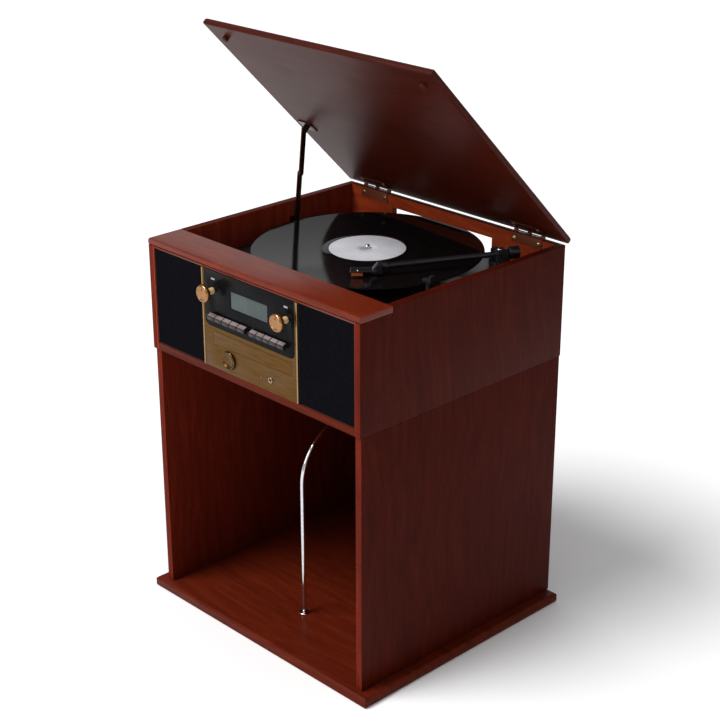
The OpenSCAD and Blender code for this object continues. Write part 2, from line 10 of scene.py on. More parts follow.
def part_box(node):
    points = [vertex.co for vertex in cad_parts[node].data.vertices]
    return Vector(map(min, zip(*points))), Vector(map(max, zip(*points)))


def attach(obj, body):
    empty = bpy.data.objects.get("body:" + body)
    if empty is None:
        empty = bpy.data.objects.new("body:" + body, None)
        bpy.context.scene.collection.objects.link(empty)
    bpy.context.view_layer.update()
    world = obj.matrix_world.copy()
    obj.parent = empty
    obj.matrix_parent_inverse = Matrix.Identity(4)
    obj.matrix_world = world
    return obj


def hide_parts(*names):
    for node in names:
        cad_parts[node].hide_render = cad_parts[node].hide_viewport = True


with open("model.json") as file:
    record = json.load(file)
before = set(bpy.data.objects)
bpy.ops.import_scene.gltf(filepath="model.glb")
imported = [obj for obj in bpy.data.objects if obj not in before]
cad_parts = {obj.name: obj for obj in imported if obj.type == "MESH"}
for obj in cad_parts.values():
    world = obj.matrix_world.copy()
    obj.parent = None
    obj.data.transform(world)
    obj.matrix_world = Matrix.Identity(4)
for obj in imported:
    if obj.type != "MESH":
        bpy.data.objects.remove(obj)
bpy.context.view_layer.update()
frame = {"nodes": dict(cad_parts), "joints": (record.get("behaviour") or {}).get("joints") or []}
nodes = frame["nodes"]
MM = 0.001


# ---- Camera and studio ---------------------------------------------------------------
# A plain pale floor in white surroundings under a broad overhead light. A soft card at the
# back left is mirrored in the record and the top board, and a fill light stands in front.
EYE = Vector((1.4424, -1.3788, 1.1920))
YAW, PITCH, ROLL = -0.804, -0.400, -0.002
LENS, SENSOR, FAR = 83.46, 36.0, 60.0

ahead = Vector((math.sin(YAW) * math.cos(PITCH), math.cos(YAW) * math.cos(PITCH),
                math.sin(PITCH)))
right = ahead.cross(Vector((0, 0, 1))).normalized()
above = right.cross(ahead)
right, above = (right * math.cos(ROLL) + above * math.sin(ROLL),
                above * math.cos(ROLL) - right * math.sin(ROLL))
camera = bpy.data.objects.new("camera", bpy.data.cameras.new("camera"))
bpy.context.scene.collection.objects.link(camera)
camera.data.lens = LENS
camera.data.sensor_width = SENSOR
camera.data.clip_end = FAR
camera.matrix_world = Matrix((
    (right.x, above.x, -ahead.x, EYE.x), (right.y, above.y, -ahead.y, EYE.y),
    (right.z, above.z, -ahead.z, EYE.z), (0, 0, 0, 1)))
bpy.context.scene.camera = camera


def softbox(name, at, target, size, power):
    """A square area light of the given side, at one point and facing another."""
    data = bpy.data.lights.new(name, "AREA")
    data.shape = "SQUARE"
    data.size = size
    data.energy = power
    lamp = bpy.data.objects.new(name, data)
    lamp.location = at
    lamp.rotation_euler = (Vector(target) - Vector(at)).to_track_quat("-Z", "Y").to_euler()
    bpy.context.scene.collection.objects.link(lamp)


softbox("back_left_card", (-2.6, 2.2, 2.6), (0, 0, 0.5), 2.6, 4)
softbox("front_fill", (-0.6, -3.6, 1.9), (0, 0, 0.3), 1.6, 30)
OVERHEAD_POWER, OVERHEAD_SPREAD, OVERHEAD_WAY = 2.7, math.radians(28), (0.30, 0.62, -1.0)
overhead = bpy.data.lights.new("overhead", "SUN")
overhead.energy = OVERHEAD_POWER
overhead.angle = OVERHEAD_SPREAD
overhead_lamp = bpy.data.objects.new("overhead", overhead)
overhead_lamp.rotation_euler = Vector(OVERHEAD_WAY).to_track_quat("-Z", "Y").to_euler()
bpy.context.scene.collection.objects.link(overhead_lamp)

# the surroundings are seen at full white and light the room at less than half of it
SURROUNDINGS = 0.45
world = bpy.data.worlds.new("studio")
bpy.context.scene.world = world
world.use_nodes = True
world.node_tree.nodes["Background"].inputs["Color"].default_value = (1, 1, 1, 1)
backdrop = world.node_tree.nodes.new("ShaderNodeLightPath")
strength = world.node_tree.nodes.new("ShaderNodeMapRange")
strength.inputs["To Min"].default_value = SURROUNDINGS
world.node_tree.links.new(backdrop.outputs["Is Camera Ray"], strength.inputs["Value"])
world.node_tree.links.new(strength.outputs["Result"],
                          world.node_tree.nodes["Background"].inputs["Strength"])
bpy.context.scene.view_settings.view_transform = "Standard"

FLOOR_HALF, FLOOR_DROP = 30, 0.0004
floor_mesh = bpy.data.meshes.new("floor")
floor_mesh.from_pydata([(x * FLOOR_HALF, y * FLOOR_HALF, 0)
                        for x, y in ((-1, -1), (1, -1), (1, 1), (-1, 1))], [], [(0, 1, 2, 3)])
floor = bpy.data.objects.new("floor", floor_mesh)
bpy.context.scene.collection.objects.link(floor)
floor.location.z = -FLOOR_DROP
floor_paint = bpy.data.materials.new("pale_floor")
floor_paint.use_nodes = True
floor_bsdf = floor_paint.node_tree.nodes["Principled BSDF"]
floor_bsdf.inputs["Base Color"].default_value = (0.93, 0.93, 0.93, 1)
floor_bsdf.inputs["Roughness"].default_value = 0.9
floor_bsdf.inputs["Specular IOR Level"].default_value = 0.1
floor_mesh.materials.append(floor_paint)


# ---- Cabinet boards ------------------------------------------------------------------
# Stained cherry veneer on board, in a satin lacquer: fine dark pores and streaks run with
# the grain, and broad soft figure lies over them. The exposed edges are a little rounded.
EASE_STEPS, MERGE, FLAT, SHARP = 3, 2e-6, math.radians(1.0), math.radians(30)


def eased(node, width, steps=EASE_STEPS):
    """A merged copy of a CAD board or moulding, with its sharp edges rounded by width."""
    made = bpy.data.objects.new(node + "_eased", nodes[node].data.copy())
    bpy.context.scene.collection.objects.link(made)
    made.data.materials.clear()
    bm = bmesh.new()
    bm.from_mesh(made.data)
    bmesh.ops.remove_doubles(bm, verts=bm.verts, dist=MERGE)
    bmesh.ops.dissolve_limit(bm, angle_limit=FLAT, verts=bm.verts, edges=bm.edges)
    for f in bm.faces:
        f.smooth = True
    bm.to_mesh(made.data)
    bm.free()
    bevel = made.modifiers.new("eased edges", "BEVEL")
    bevel.width = width
    bevel.segments = steps
    bevel.limit_method = "ANGLE"
    bevel.angle_limit = SHARP
    bevel.harden_normals = True
    bevel.use_clamp_overlap = True
    return made


def fit(obj, body, finish, slot, *stands_for):
    """Paints a piece, hangs it on its body and hides the CAD nodes it stands for."""
    obj.data.materials.clear()
    obj.data.materials.append(finish)
    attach(obj, body)
    if stands_for:
        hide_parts(*stands_for)


def new_group(name, inputs, outputs):
    """An empty shader group with the named inputs (name, default) and outputs (name, type)."""
    tree = bpy.data.node_groups.new(name, "ShaderNodeTree")
    for label, default in inputs:
        kind = "NodeSocketVector" if label == "Vector" else "NodeSocketFloat"
        socket = tree.interface.new_socket(label, in_out="INPUT", socket_type=kind)
        if default is not None:
            socket.default_value = default
    for label, kind in outputs:
        tree.interface.new_socket(label, in_out="OUTPUT", socket_type="NodeSocket" + kind)
    return tree, tree.nodes.new("NodeGroupInput"), tree.nodes.new("NodeGroupOutput")


def add(tree, kind, feed=None, **settings):
    """A node with its settings, and with sockets fed by other nodes' outputs or by values."""
    node = tree.nodes.new("ShaderNode" + kind)
    for key, value in settings.items():
        setattr(node, key, value)
    for key, value in (feed or {}).items():
        socket = node.inputs[key]
        if isinstance(value, bpy.types.NodeSocket):
            tree.links.new(value, socket)
        else:
            socket.default_value = value
    return node


def ramp(tree, factor, *stops):
    """A colour ramp through (place, colour) stops."""
    node = add(tree, "ValToRGB", {"Fac": factor})
    band = node.color_ramp
    for k, (spot, colour) in enumerate(stops):
        stop = band.elements[k] if k < 2 else band.elements.new(spot)
        stop.position = spot
        stop.color = (*colour, 1)
    return node.outputs["Color"]


def mixed(tree, factor, under, over, way="MIX"):
    """Lays the colour over on the colour under by a factor; MULTIPLY stains it instead."""
    node = add(tree, "Mix", {"Factor": factor, 6: under, 7: over}, data_type="RGBA",
               blend_type=way)
    return node.outputs[2]


def worked(tree, how, *numbers):
    """One number worked out from others by a named operation."""
    return add(tree, "Math", dict(enumerate(numbers)), operation=how).outputs["Value"]


def between(tree, number, low, high):
    """0 where a number is at low, 1 where it is at high, and even in between."""
    return add(tree, "MapRange", {"Value": number, "From Min": low, "From Max": high}
               ).outputs["Result"]


def noise(tree, where, scale, detail, roughness=0.5, distortion=0.0):
    """A cloudy pattern from 0 to 1 of so many cells to the metre."""
    return add(tree, "TexNoise", {"Vector": where, "Scale": scale, "Detail": detail,
                                  "Roughness": roughness, "Distortion": distortion}
               ).outputs["Fac"]


def scaled(tree, factor, low, high):
    """Carries 0 to 1 over to low to high."""
    return add(tree, "MapRange", {"Value": factor, "To Min": low,
                                  "To Max": high}).outputs["Result"]


def paint(name, **constants):
    """A material with its Principled shader's own constants; returns material, tree, shader."""
    made = bpy.data.materials.new(name)
    made.use_nodes = True
    shader = made.node_tree.nodes["Principled BSDF"]
    for key, value in constants.items():
        shader.inputs[key.replace("_", " ")].default_value = value
    return made, made.node_tree, shader


def place(tree, scale=(1, 1, 1), turn=(0, 0, 0), shift=(0, 0, 0)):
    """Object coordinates, shifted, turned and scaled."""
    where = add(tree, "TexCoord").outputs["Object"]
    return add(tree, "Mapping", {"Vector": where, "Scale": scale, "Rotation": turn,
                                 "Location": shift}).outputs["Vector"]


# wear: the smears that hands leave and fine specks of dust, as two masks
wear_tree, given, gives = new_group("hand_wear", [("Vector", None), ("Size", 9.0)],
                                    [("Smear", "Float"), ("Dust", "Float")])
smear = noise(wear_tree, given.outputs["Vector"], given.outputs["Size"], 5.0, roughness=0.6)
specks = noise(wear_tree, given.outputs["Vector"], 900.0, 2.0)
speck_cut = between(wear_tree, specks, 0.62, 0.75)
wear_tree.links.new(smear, gives.inputs["Smear"])
wear_tree.links.new(speck_cut, gives.inputs["Dust"])


def use_group(tree, group, **feed):
    """Places a shader group in a material and feeds its inputs."""
    node = tree.nodes.new("ShaderNodeGroup")
    node.node_tree = group
    for key, value in feed.items():
        socket = node.inputs[key.replace("_", " ")]
        if isinstance(value, bpy.types.NodeSocket):
            tree.links.new(value, socket)
        else:
            socket.default_value = value
    return node


def bump(tree, shader, height, strength=0.2, distance=0.0005):
    """Feeds a height into the shader's normal."""
    node = add(tree, "Bump", {"Height": height, "Strength": strength, "Distance": distance})
    tree.links.new(node.outputs["Normal"], shader.inputs["Normal"])


grain_tree, given, gives = new_group("cherry_grain", [("Vector", None)],
                                     [("Figure", "Float"), ("Streaks", "Float"),
                                      ("Pores", "Float")])
# the grain runs along the third coordinate, which is squeezed
warp = add(grain_tree, "TexNoise", {"Vector": given.outputs["Vector"], "Scale": 2.2,
                                    "Detail": 2.0})
warp_off = add(grain_tree, "VectorMath", {0: warp.outputs["Color"], "Scale": 0.12},
               operation="SCALE")
bent = add(grain_tree, "VectorMath", {0: given.outputs["Vector"],
                                      1: warp_off.outputs["Vector"]}, operation="ADD")
long_map = add(grain_tree, "Mapping", {"Vector": bent.outputs["Vector"], "Scale": (1, 1, 0.06)})
figure = noise(grain_tree, long_map.outputs["Vector"], 14.0, 3.0, distortion=0.6)
streaks = noise(grain_tree, long_map.outputs["Vector"], 120.0, 5.0, roughness=0.65)
fine_map = add(grain_tree, "Mapping", {"Vector": bent.outputs["Vector"], "Scale": (1, 1, 0.035)})
pores = noise(grain_tree, fine_map.outputs["Vector"], 900.0, 2.0)
pore_cut = between(grain_tree, pores, 0.56, 0.68)
grain_tree.links.new(figure, gives.inputs["Figure"])
grain_tree.links.new(streaks, gives.inputs["Streaks"])
grain_tree.links.new(pore_cut, gives.inputs["Pores"])

TURN_ALONG = {"x": (0, math.pi / 2, 0), "y": (math.pi / 2, 0, 0), "z": (0, 0, 0)}


def veneer(name, along, shift, dark=(0.088, 0.0085, 0.0028), mid=(0.122, 0.0125, 0.0036),
           light=(0.160, 0.0185, 0.0050), gloss=0.36, shine=0.05, inside=None):
    """Cherry veneer whose grain runs along one axis; shift picks another part of the log.
    inside is (axis, factor, factor): painted light, a lighter tone for the faces turned to
    the middle of that axis and one for the edges turned to the front, where light falls."""
    made, tree, shader = paint(name, Specular_IOR_Level=shine)
    where = place(tree, turn=TURN_ALONG[along], shift=shift)
    grain = use_group(tree, grain_tree, Vector=where)
    wear = use_group(tree, wear_tree, Vector=where)
    base = ramp(tree, grain.outputs["Streaks"], (0.30, dark), (0.52, mid), (0.74, light))
    broad = ramp(tree, grain.outputs["Figure"], (0.32, (0.86, 0.84, 0.82)),
                 (0.68, (1.0, 1.0, 1.0)))
    blend = mixed(tree, 1.0, base, broad, "MULTIPLY")
    holes = mixed(tree, scaled(tree, grain.outputs["Pores"], 0.0, 0.35), blend,
                  (0.02, 0.004, 0.003, 1))
    dusted_and_painted_light = mixed(tree, scaled(tree, wear.outputs["Dust"], 0.0, 0.05), holes,
                    (0.4, 0.36, 0.33, 1))
    # painted light: the faces turned inwards and to the front are made lighter, as where light
    # falls on them
    if inside:
        axis, lift, edge = inside
        across = add(tree, "SeparateXYZ", {"Vector": add(tree, "TexCoord").outputs["Object"]})
        facing = add(tree, "SeparateXYZ", {"Vector": add(tree, "NewGeometry").outputs["Normal"]})
        outward = worked(tree, "MULTIPLY", across.outputs[axis], facing.outputs[axis])
        inward = between(tree, outward, -0.02, -0.08)
        front = between(tree, facing.outputs["Y"], -0.5, -0.9)
        for mask, factor in ((inward, lift), (front, edge)):
            painted_lighter = mixed(tree, 1.0, dusted_and_painted_light, (*factor, 1), "MULTIPLY")
            dusted_and_painted_light = mixed(tree, mask, dusted_and_painted_light, painted_lighter)
    tree.links.new(dusted_and_painted_light, shader.inputs["Base Color"])
    tree.links.new(scaled(tree, wear.outputs["Smear"], gloss - 0.05, gloss + 0.1),
                   shader.inputs["Roughness"])
    height = worked(tree, "SUBTRACT", grain.outputs["Streaks"], grain.outputs["Pores"])
    bump(tree, shader, height, 0.10, 0.0002)
    return made


# each board has its own copy of the veneer in a tone set by how light falls on it: painted shade
# makes the side boards darker, and painted light makes the top board lighter
SIDE_SHADED_TONES = {"dark": (0.041, 0.0036, 0.0013), "mid": (0.056, 0.0052, 0.0018),
              "light": (0.074, 0.0078, 0.0027)}
cherry_side = veneer("cherry_side", "z", (0.3, 0.1, 0.0), shine=0.03,
                     inside=("X", (2.2, 2.4, 2.6), (2.3, 2.3, 2.3)), **SIDE_SHADED_TONES)
cherry_box = veneer("cherry_box", "z", (0.3, 0.1, 0.0), shine=0.03,
                    inside=("X", (4.6, 5.6, 5.6), (2.3, 2.3, 2.3)), **SIDE_SHADED_TONES)
cherry_back = veneer("cherry_back", "x", (0.1, 0.8, 0.4), dark=(0.070, 0.0075, 0.0024),
                     mid=(0.098, 0.0110, 0.0032), light=(0.130, 0.0165, 0.0046), shine=0.03,
                     inside=("Y", (2.2, 2.6, 2.4), (1.6, 1.6, 1.6)))
cherry_up = veneer("cherry_upright", "z", (0.6, 0.4, 0.0), dark=(0.055, 0.0060, 0.0022),
                   mid=(0.078, 0.0090, 0.0030), light=(0.105, 0.0140, 0.0045))
cherry_top = veneer("cherry_top", "x", (0.9, 0.3, 0.1), dark=(0.115, 0.0120, 0.0032),
                    mid=(0.150, 0.0170, 0.0042), light=(0.195, 0.0250, 0.0062), gloss=0.28,
                    shine=0.24)
cherry_across = veneer("cherry_across", "x", (0.0, 0.7, 0.2), dark=(0.070, 0.0075, 0.0024),
                       mid=(0.098, 0.0110, 0.0032), light=(0.130, 0.0165, 0.0046))
for board, skin, ease in (
        ("stand_left_side", cherry_side, 0.7), ("stand_right_side", cherry_side, 0.7),
        ("stand_back_panel", cherry_up, 0.6),
        ("unit_left_side", cherry_box, 0.9), ("unit_right_side", cherry_box, 0.9),
        ("unit_bottom_board", cherry_across, 0.9),
        ("unit_back_panel", cherry_back, 0.6), ("front_top_board", cherry_top, 0.7),
        ("base_plate", cherry_across, 0.9)):
    fit(eased(board, ease * MM), "cabinet", skin, "wood_cherry", board)


# ---- Lid -----------------------------------------------------------------------------
# One veneered board, rounded at its edges. Its two bumpers are dark rubber buttons
# pinned under the front corners.
# the lid's dark tone is painted shade: the shaded underside's tone given to the whole board
cherry_lid = veneer("cherry_lid", "x", (0.2, 0.3, 0.6), dark=(0.040, 0.0048, 0.0022),
                    mid=(0.054, 0.0068, 0.0030), light=(0.072, 0.0100, 0.0046), gloss=0.32,
                    shine=0.06)
fit(eased("lid", 1.2 * MM, steps=4), "lid", cherry_lid, "wood_lid", "lid")

moulded_tree, given, gives = new_group("moulded_skin", [("Vector", None), ("Grain", 1400.0)],
                                       [("Height", "Float"), ("Mottle", "Float")])
fine = noise(moulded_tree, given.outputs["Vector"], given.outputs["Grain"], 2.0)
mottle = noise(moulded_tree, given.outputs["Vector"], 35.0, 4.0, roughness=0.6)
moulded_tree.links.new(fine, gives.inputs["Height"])
moulded_tree.links.new(mottle, gives.inputs["Mottle"])


def moulded(name, dark, light, rough=(0.35, 0.5), relief=0.12, grain=1400.0, **constants):
    """Moulded plastic or rubber: a fine skin, a soft mottle and a little dust."""
    made, tree, shader = paint(name, **constants)
    where = place(tree)
    skin = use_group(tree, moulded_tree, Vector=where, Grain=grain)
    wear = use_group(tree, wear_tree, Vector=where)
    base = ramp(tree, skin.outputs["Mottle"], (0.3, dark), (0.7, light))
    dusty = mixed(tree, scaled(tree, wear.outputs["Dust"], 0.0, 0.10), base,
                  (0.35, 0.34, 0.32, 1))
    tree.links.new(dusty, shader.inputs["Base Color"])
    tree.links.new(scaled(tree, wear.outputs["Smear"], *rough), shader.inputs["Roughness"])
    bump(tree, shader, skin.outputs["Height"], relief, 0.0001)
    return made


bumper_rubber = moulded("bumper_rubber", (0.052, 0.0064, 0.0030), (0.068, 0.0090, 0.0040),
                        rough=(0.45, 0.6), Specular_IOR_Level=0.12)
fit(eased("lid_bumpers", 0.8 * MM), "lid", bumper_rubber, "bumper", "lid_bumpers")


# ---- Record divider ------------------------------------------------------------------
# A polished chrome hoop bent from one rod that keeps the records upright. Its feet stand
# in two turned collars on the plinth.
def to_mesh(name, verts, faces, smooth=True):
    """An object from an array of points in metres and a list of faces."""
    mesh = bpy.data.meshes.new(name)
    mesh.from_pydata(np.asarray(verts, float).reshape(-1, 3).tolist(), [], faces)
    mesh.validate()
    mesh.polygons.foreach_set("use_smooth", np.full(len(mesh.polygons), smooth))
    made = bpy.data.objects.new(name, mesh)
    bpy.context.scene.collection.objects.link(made)
    return made


def grid_faces(nu, nv, wrap_u=False, wrap_v=False):
    """Quads of an nu by nv sheet of points, joined to its start along u or v if it wraps."""
    i, j = np.meshgrid(np.arange(nu if wrap_u else nu - 1), np.arange(nv if wrap_v else nv - 1),
                       indexing="ij")
    a, b = i * nv + j, ((i + 1) % nu) * nv + j
    c, d = ((i + 1) % nu) * nv + (j + 1) % nv, i * nv + (j + 1) % nv
    return np.stack([a, b, c, d], -1).reshape(-1, 4).tolist()


COINCIDE = 1e-6


def weld(obj, outward=True):
    """Merges coincident points, drops empty faces and turns every face outwards."""
    bm = bmesh.new()
    bm.from_mesh(obj.data)
    bmesh.ops.remove_doubles(bm, verts=bm.verts, dist=COINCIDE)
    bmesh.ops.dissolve_degenerate(bm, edges=bm.edges, dist=COINCIDE)
    if outward:
        bmesh.ops.recalc_face_normals(bm, faces=bm.faces)
    bm.to_mesh(obj.data)
    bm.free()
    obj.data.update()
    return obj


UPRIGHT = ((1, 0, 0), (0, 1, 0), (0, 0, 1))


def turned(name, profile, centre, steps=96, axes=UPRIGHT, flutes=0, flute_depth=0.0,
           flute_from=1.0):
    """A surface of revolution: point (radius, height) of the profile at angle t lies at
    centre + radius (cos t A + sin t B) + height C, for the axes A, B and C. Points whose
    radius is at least flute_from ripple inwards by flute_depth."""
    a, b, c = (np.array(v, float) for v in axes)
    line = np.asarray(profile, float)[None]
    t = np.linspace(0, 2 * np.pi, steps, endpoint=False)[:, None]
    ripple = np.where(line[..., 0] >= flute_from,
                      flute_depth * (0.5 - 0.5 * np.cos(flutes * t)), 0)
    radius = np.maximum(line[..., 0] - ripple, 0)[..., None]
    around = np.cos(t)[..., None] * a + np.sin(t)[..., None] * b
    points = np.asarray(centre, float) + radius * around + line[..., 1:] * c
    return weld(to_mesh(name, points, grid_faces(*points.shape[:2], wrap_u=True)))


def swept(name, path, radius, sides=16):
    """A tube: a ring of the given radius carried along the path, square to it; its ends
    are drawn in to a point."""
    p = np.asarray(path, float)
    along = np.gradient(p, axis=0)
    along /= np.linalg.norm(along, axis=1)[:, None]
    side = np.zeros_like(p)
    side[0] = np.cross(along[0], (0, 0, 1.0) if abs(along[0][2]) < 0.9 else (1.0, 0, 0))
    for k in range(1, len(p)):
        side[k] = side[k - 1] - along[k] * side[k - 1].dot(along[k])
        side[k] /= np.linalg.norm(side[k])
    side[0] /= np.linalg.norm(side[0])
    t = np.linspace(0, 2 * np.pi, sides, endpoint=False)[None, :, None]
    ring = np.cos(t) * side[:, None] + np.sin(t) * np.cross(along, side)[:, None]
    rings = np.concatenate([np.repeat(p[:1, None], sides, 1), p[:, None] + radius * ring,
                            np.repeat(p[-1:, None], sides, 1)])
    return weld(to_mesh(name, rings, grid_faces(len(rings), sides, wrap_v=True)))


metal_tree, given, gives = new_group("drawn_metal", [("Vector", None), ("Lines", 500.0)],
                                     [("Lines", "Float"), ("Cloud", "Float")])
line_noise = noise(metal_tree, given.outputs["Vector"], given.outputs["Lines"], 3.0)
cloud = noise(metal_tree, given.outputs["Vector"], 18.0, 4.0)
metal_tree.links.new(line_noise, gives.inputs["Lines"])
metal_tree.links.new(cloud, gives.inputs["Cloud"])

TARNISH = 0.55


def metal(name, dark, light, rough=(0.15, 0.3), stretch=(1, 1, 1), relief=0.08, lines=500.0,
          tarnish=None, metallic=1.0, **constants):
    """Bare metal: brushed or drawn lines along the squeezed axis, cloudy tarnish, hand wear."""
    made, tree, shader = paint(name, Metallic=metallic, **constants)
    where = place(tree, scale=stretch)
    drawn = use_group(tree, metal_tree, Vector=where, Lines=lines)
    wear = use_group(tree, wear_tree, Vector=place(tree))
    base = ramp(tree, drawn.outputs["Lines"], (0.3, dark), (0.7, light))
    stain = mixed(tree, scaled(tree, drawn.outputs["Cloud"], 0.0, TARNISH if tarnish else 0.0),
                  base, (*(tarnish or dark), 1))
    tree.links.new(stain, shader.inputs["Base Color"])
    tree.links.new(scaled(tree, wear.outputs["Smear"], *rough), shader.inputs["Roughness"])
    bump(tree, shader, drawn.outputs["Lines"], relief, 0.0001)
    return made


chrome = metal("chrome", (0.62, 0.62, 0.64), (0.85, 0.85, 0.87), rough=(0.05, 0.14), relief=0.01)
low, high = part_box("record_divider")
# radii of the rod, of its two bends and of a collar, and how deep the feet go in
ROD, BEND, COLLAR, SUNK = 3 * MM, 75 * MM, 7 * MM, 6 * MM
rod_x = (low.x + high.x) / 2
foot_front, foot_back, top = low.y + COLLAR, high.y - COLLAR, high.z - ROD
rod_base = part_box("base_plate")[1].z
quarter = np.linspace(0, np.pi / 2, 25)
rise = np.linspace(rod_base - SUNK, top - BEND, 12)[:-1]
reach, climb = BEND * (1 - np.cos(quarter)), top - BEND + BEND * np.sin(quarter)
back_and_up = np.concatenate([
    np.stack([np.full(len(rise), foot_front), rise], 1), np.stack([foot_front + reach, climb], 1),
    np.stack([foot_back - reach[::-1], climb[::-1]], 1),
    np.stack([np.full(len(rise), foot_back), rise[::-1]], 1)])
hoop = np.insert(back_and_up, 0, rod_x, axis=1)
fit(swept("divider_hoop", hoop, ROD, 24), "cabinet", chrome, "chrome_rod", "record_divider")
for tag, y in (("front", foot_front), ("back", foot_back)):
    ring = [(ROD, 0.0), (COLLAR, 0.0), (COLLAR, 1.2 * MM), (6.2 * MM, 1.9 * MM),
            (4.4 * MM, 2.2 * MM), (ROD, 3.2 * MM)]
    fit(turned("divider_collar_" + tag, ring + ring[:1], (rod_x, y, rod_base), steps=64),
        "cabinet", chrome, "chrome_rod")


# ---- Metal fascia --------------------------------------------------------------------
# A brushed olive-gold panel with the disc drawer, a dished round button, a lamp and a
# headphone socket below the black control panel.
fascia_gold = metal("fascia_gold", (0.100, 0.047, 0.0100), (0.160, 0.082, 0.0200),
                    rough=(0.34, 0.48), stretch=(0.05, 1, 1), lines=900.0, relief=0.25,
                    tarnish=(0.10, 0.050, 0.014))
fit(eased("fascia", 0.35 * MM), "cabinet", fascia_gold, "fascia_brass", "fascia")
tray_skin, tree, shader = paint("tray_skin")
where = add(tree, "SeparateXYZ", {"Vector": place(tree)})
tray_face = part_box("cd_tray")[0].y
# the drawer front is gold and the drawer behind it black
plate = between(tree, where.outputs["Y"], tray_face + 4.6 * MM, tray_face + 4.4 * MM)
drawn = use_group(tree, metal_tree, Vector=place(tree, scale=(0.05, 1, 1)), Lines=900.0)
gold = ramp(tree, drawn.outputs["Lines"], (0.3, (0.095, 0.044, 0.0098)),
            (0.7, (0.150, 0.076, 0.0190)))
coat = mixed(tree, plate, (0.010, 0.010, 0.011, 1), gold)
tree.links.new(coat, shader.inputs["Base Color"])
tree.links.new(plate, shader.inputs["Metallic"])
tree.links.new(scaled(tree, drawn.outputs["Cloud"], 0.36, 0.5), shader.inputs["Roughness"])
bump(tree, shader, drawn.outputs["Lines"], 0.2, 0.0001)
fit(eased("cd_tray", 0.45 * MM), "cd_tray", tray_skin, "tray_brass", "cd_tray")
polished_gold = metal("polished_gold", (0.30, 0.185, 0.085), (0.42, 0.28, 0.14),
                      rough=(0.16, 0.28), relief=0.03)
button_gold = metal("button_gold", (0.085, 0.045, 0.014), (0.13, 0.072, 0.024),
                    rough=(0.12, 0.22), relief=0.03)
low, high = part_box("open_button")
button_at = ((low.x + high.x) / 2, high.y - 9 * MM, (low.z + high.z) / 2)
FRONT = ((0, 0, 1), (1, 0, 0), (0, -1, 0))
# here and below a turned piece's outline is (radius, height) in millimetres, height outwards
dish = np.array([(0, -9), (4, -9), (4, -3.5), (11.6, -3.5), (12, -3.1), (12, 1.2), (11.8, 1.9),
                 (11.3, 2.3), (10.8, 2.4), (10.2, 2.2), (9.6, 1.7), (8.6, 0.9), (7, 0.2),
                 (5, -0.25), (3, -0.5), (0, -0.6)]) * MM
fit(turned("open_button_dish", dish, button_at, steps=96, axes=FRONT), "open_button",
    button_gold, "button_brass", "open_button")


def pad(name, low, high, ease, cuts=4):
    """A block with rounded edges: each face is a grid whose points are pulled back to an
    inner block and pushed out again by the easing radius."""
    low, high = np.asarray(low, float), np.asarray(high, float)
    half, mid = (high - low) / 2, (high + low) / 2
    r = min(ease, half.min() * 0.98)
    edge = r * (1 - np.cos(np.linspace(0, np.pi / 2, cuts + 1)))
    verts, faces = [], []
    for k in range(3):
        u, v = (k + 1) % 3, (k + 2) % 3
        gu = np.concatenate([-half[u] + edge, half[u] - edge[::-1]])
        gv = np.concatenate([-half[v] + edge, half[v] - edge[::-1]])
        for s in (-1, 1):
            q = np.zeros((len(gu), len(gv), 3))
            q[..., u], q[..., v], q[..., k] = gu[:, None], gv[None, :], s * half[k]
            inner = np.clip(q, -half + r, half - r)
            out = q - inner
            length = np.maximum(np.linalg.norm(out, axis=-1, keepdims=True), 1e-12)
            start = sum(len(w) for w in verts)
            faces += [[start + x for x in f] for f in grid_faces(len(gu), len(gv))]
            verts.append((mid + inner + out / length * r).reshape(-1, 3))
    return weld(to_mesh(name, np.concatenate(verts), faces))


low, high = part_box("fascia")
for tag, s in (("left", -1), ("right", 1)):
    x0, x1 = sorted((s * (high.x - 2.2 * MM), s * (high.x - 0.1 * MM)))
    strip = pad("fascia_edge_" + tag, (x0, low.y - 0.45 * MM, low.z + 0.3 * MM),
                (x1, low.y + 0.3 * MM, high.z - 0.3 * MM), 0.4 * MM, 4)
    fit(strip, "cabinet", polished_gold, "fascia_brass")

dark_socket = moulded("dark_socket", (0.012, 0.010, 0.008), (0.03, 0.026, 0.02))
low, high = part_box("headphone_jack")
jack_at = np.array(((low.x + high.x) / 2, high.y - 18 * MM, (low.z + high.z) / 2))
jack = np.array([(1.8, 0.5), (3.9, 0.5), (4.9, 0.2), (4.9, -4), (6.5, -4), (6.5, -6), (4, -6),
                 (4, -18), (0, -18), (0, -12), (1.8, -12), (1.8, 0.5)]) * MM
fit(turned("headphone_socket", jack, jack_at, steps=64, axes=FRONT), "cabinet", dark_socket,
    "jack_dark", "headphone_jack")
ring = np.array([(2.4, 0.4), (3.9, 0.4), (3.9, 0.75), (3.5, 0.95), (2.7, 0.95), (2.4, 0.7),
                 (2.4, 0.4)]) * MM
fit(turned("headphone_socket_ring", ring, jack_at, steps=64, axes=FRONT), "cabinet",
    polished_gold, "button_brass")

red_lens, lens_tree, lens_shader = paint("red_lens", Roughness=0.12, Coat_Weight=0.6)
lens_shader.inputs["Subsurface Weight"].default_value = 0.15
red_mottle = use_group(lens_tree, moulded_tree, Vector=place(lens_tree))
lens_tree.links.new(ramp(lens_tree, red_mottle.outputs["Mottle"], (0.3, (0.10, 0.006, 0.004)),
                         (0.7, (0.20, 0.014, 0.008))), lens_shader.inputs["Base Color"])
low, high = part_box("indicator_led")
lamp = np.array([(0, 1.1), (0.6, 1.0), (1.2, 0.7), (1.7, 0.2), (1.9, -0.4), (1.9, -4), (3, -4),
                 (3, -8), (0, -8)]) * MM
fit(turned("lamp_lens", lamp, ((low.x + high.x) / 2, high.y - 8 * MM, (low.z + high.z) / 2),
           steps=40, axes=FRONT), "cabinet", red_lens, "led_red", "indicator_led")


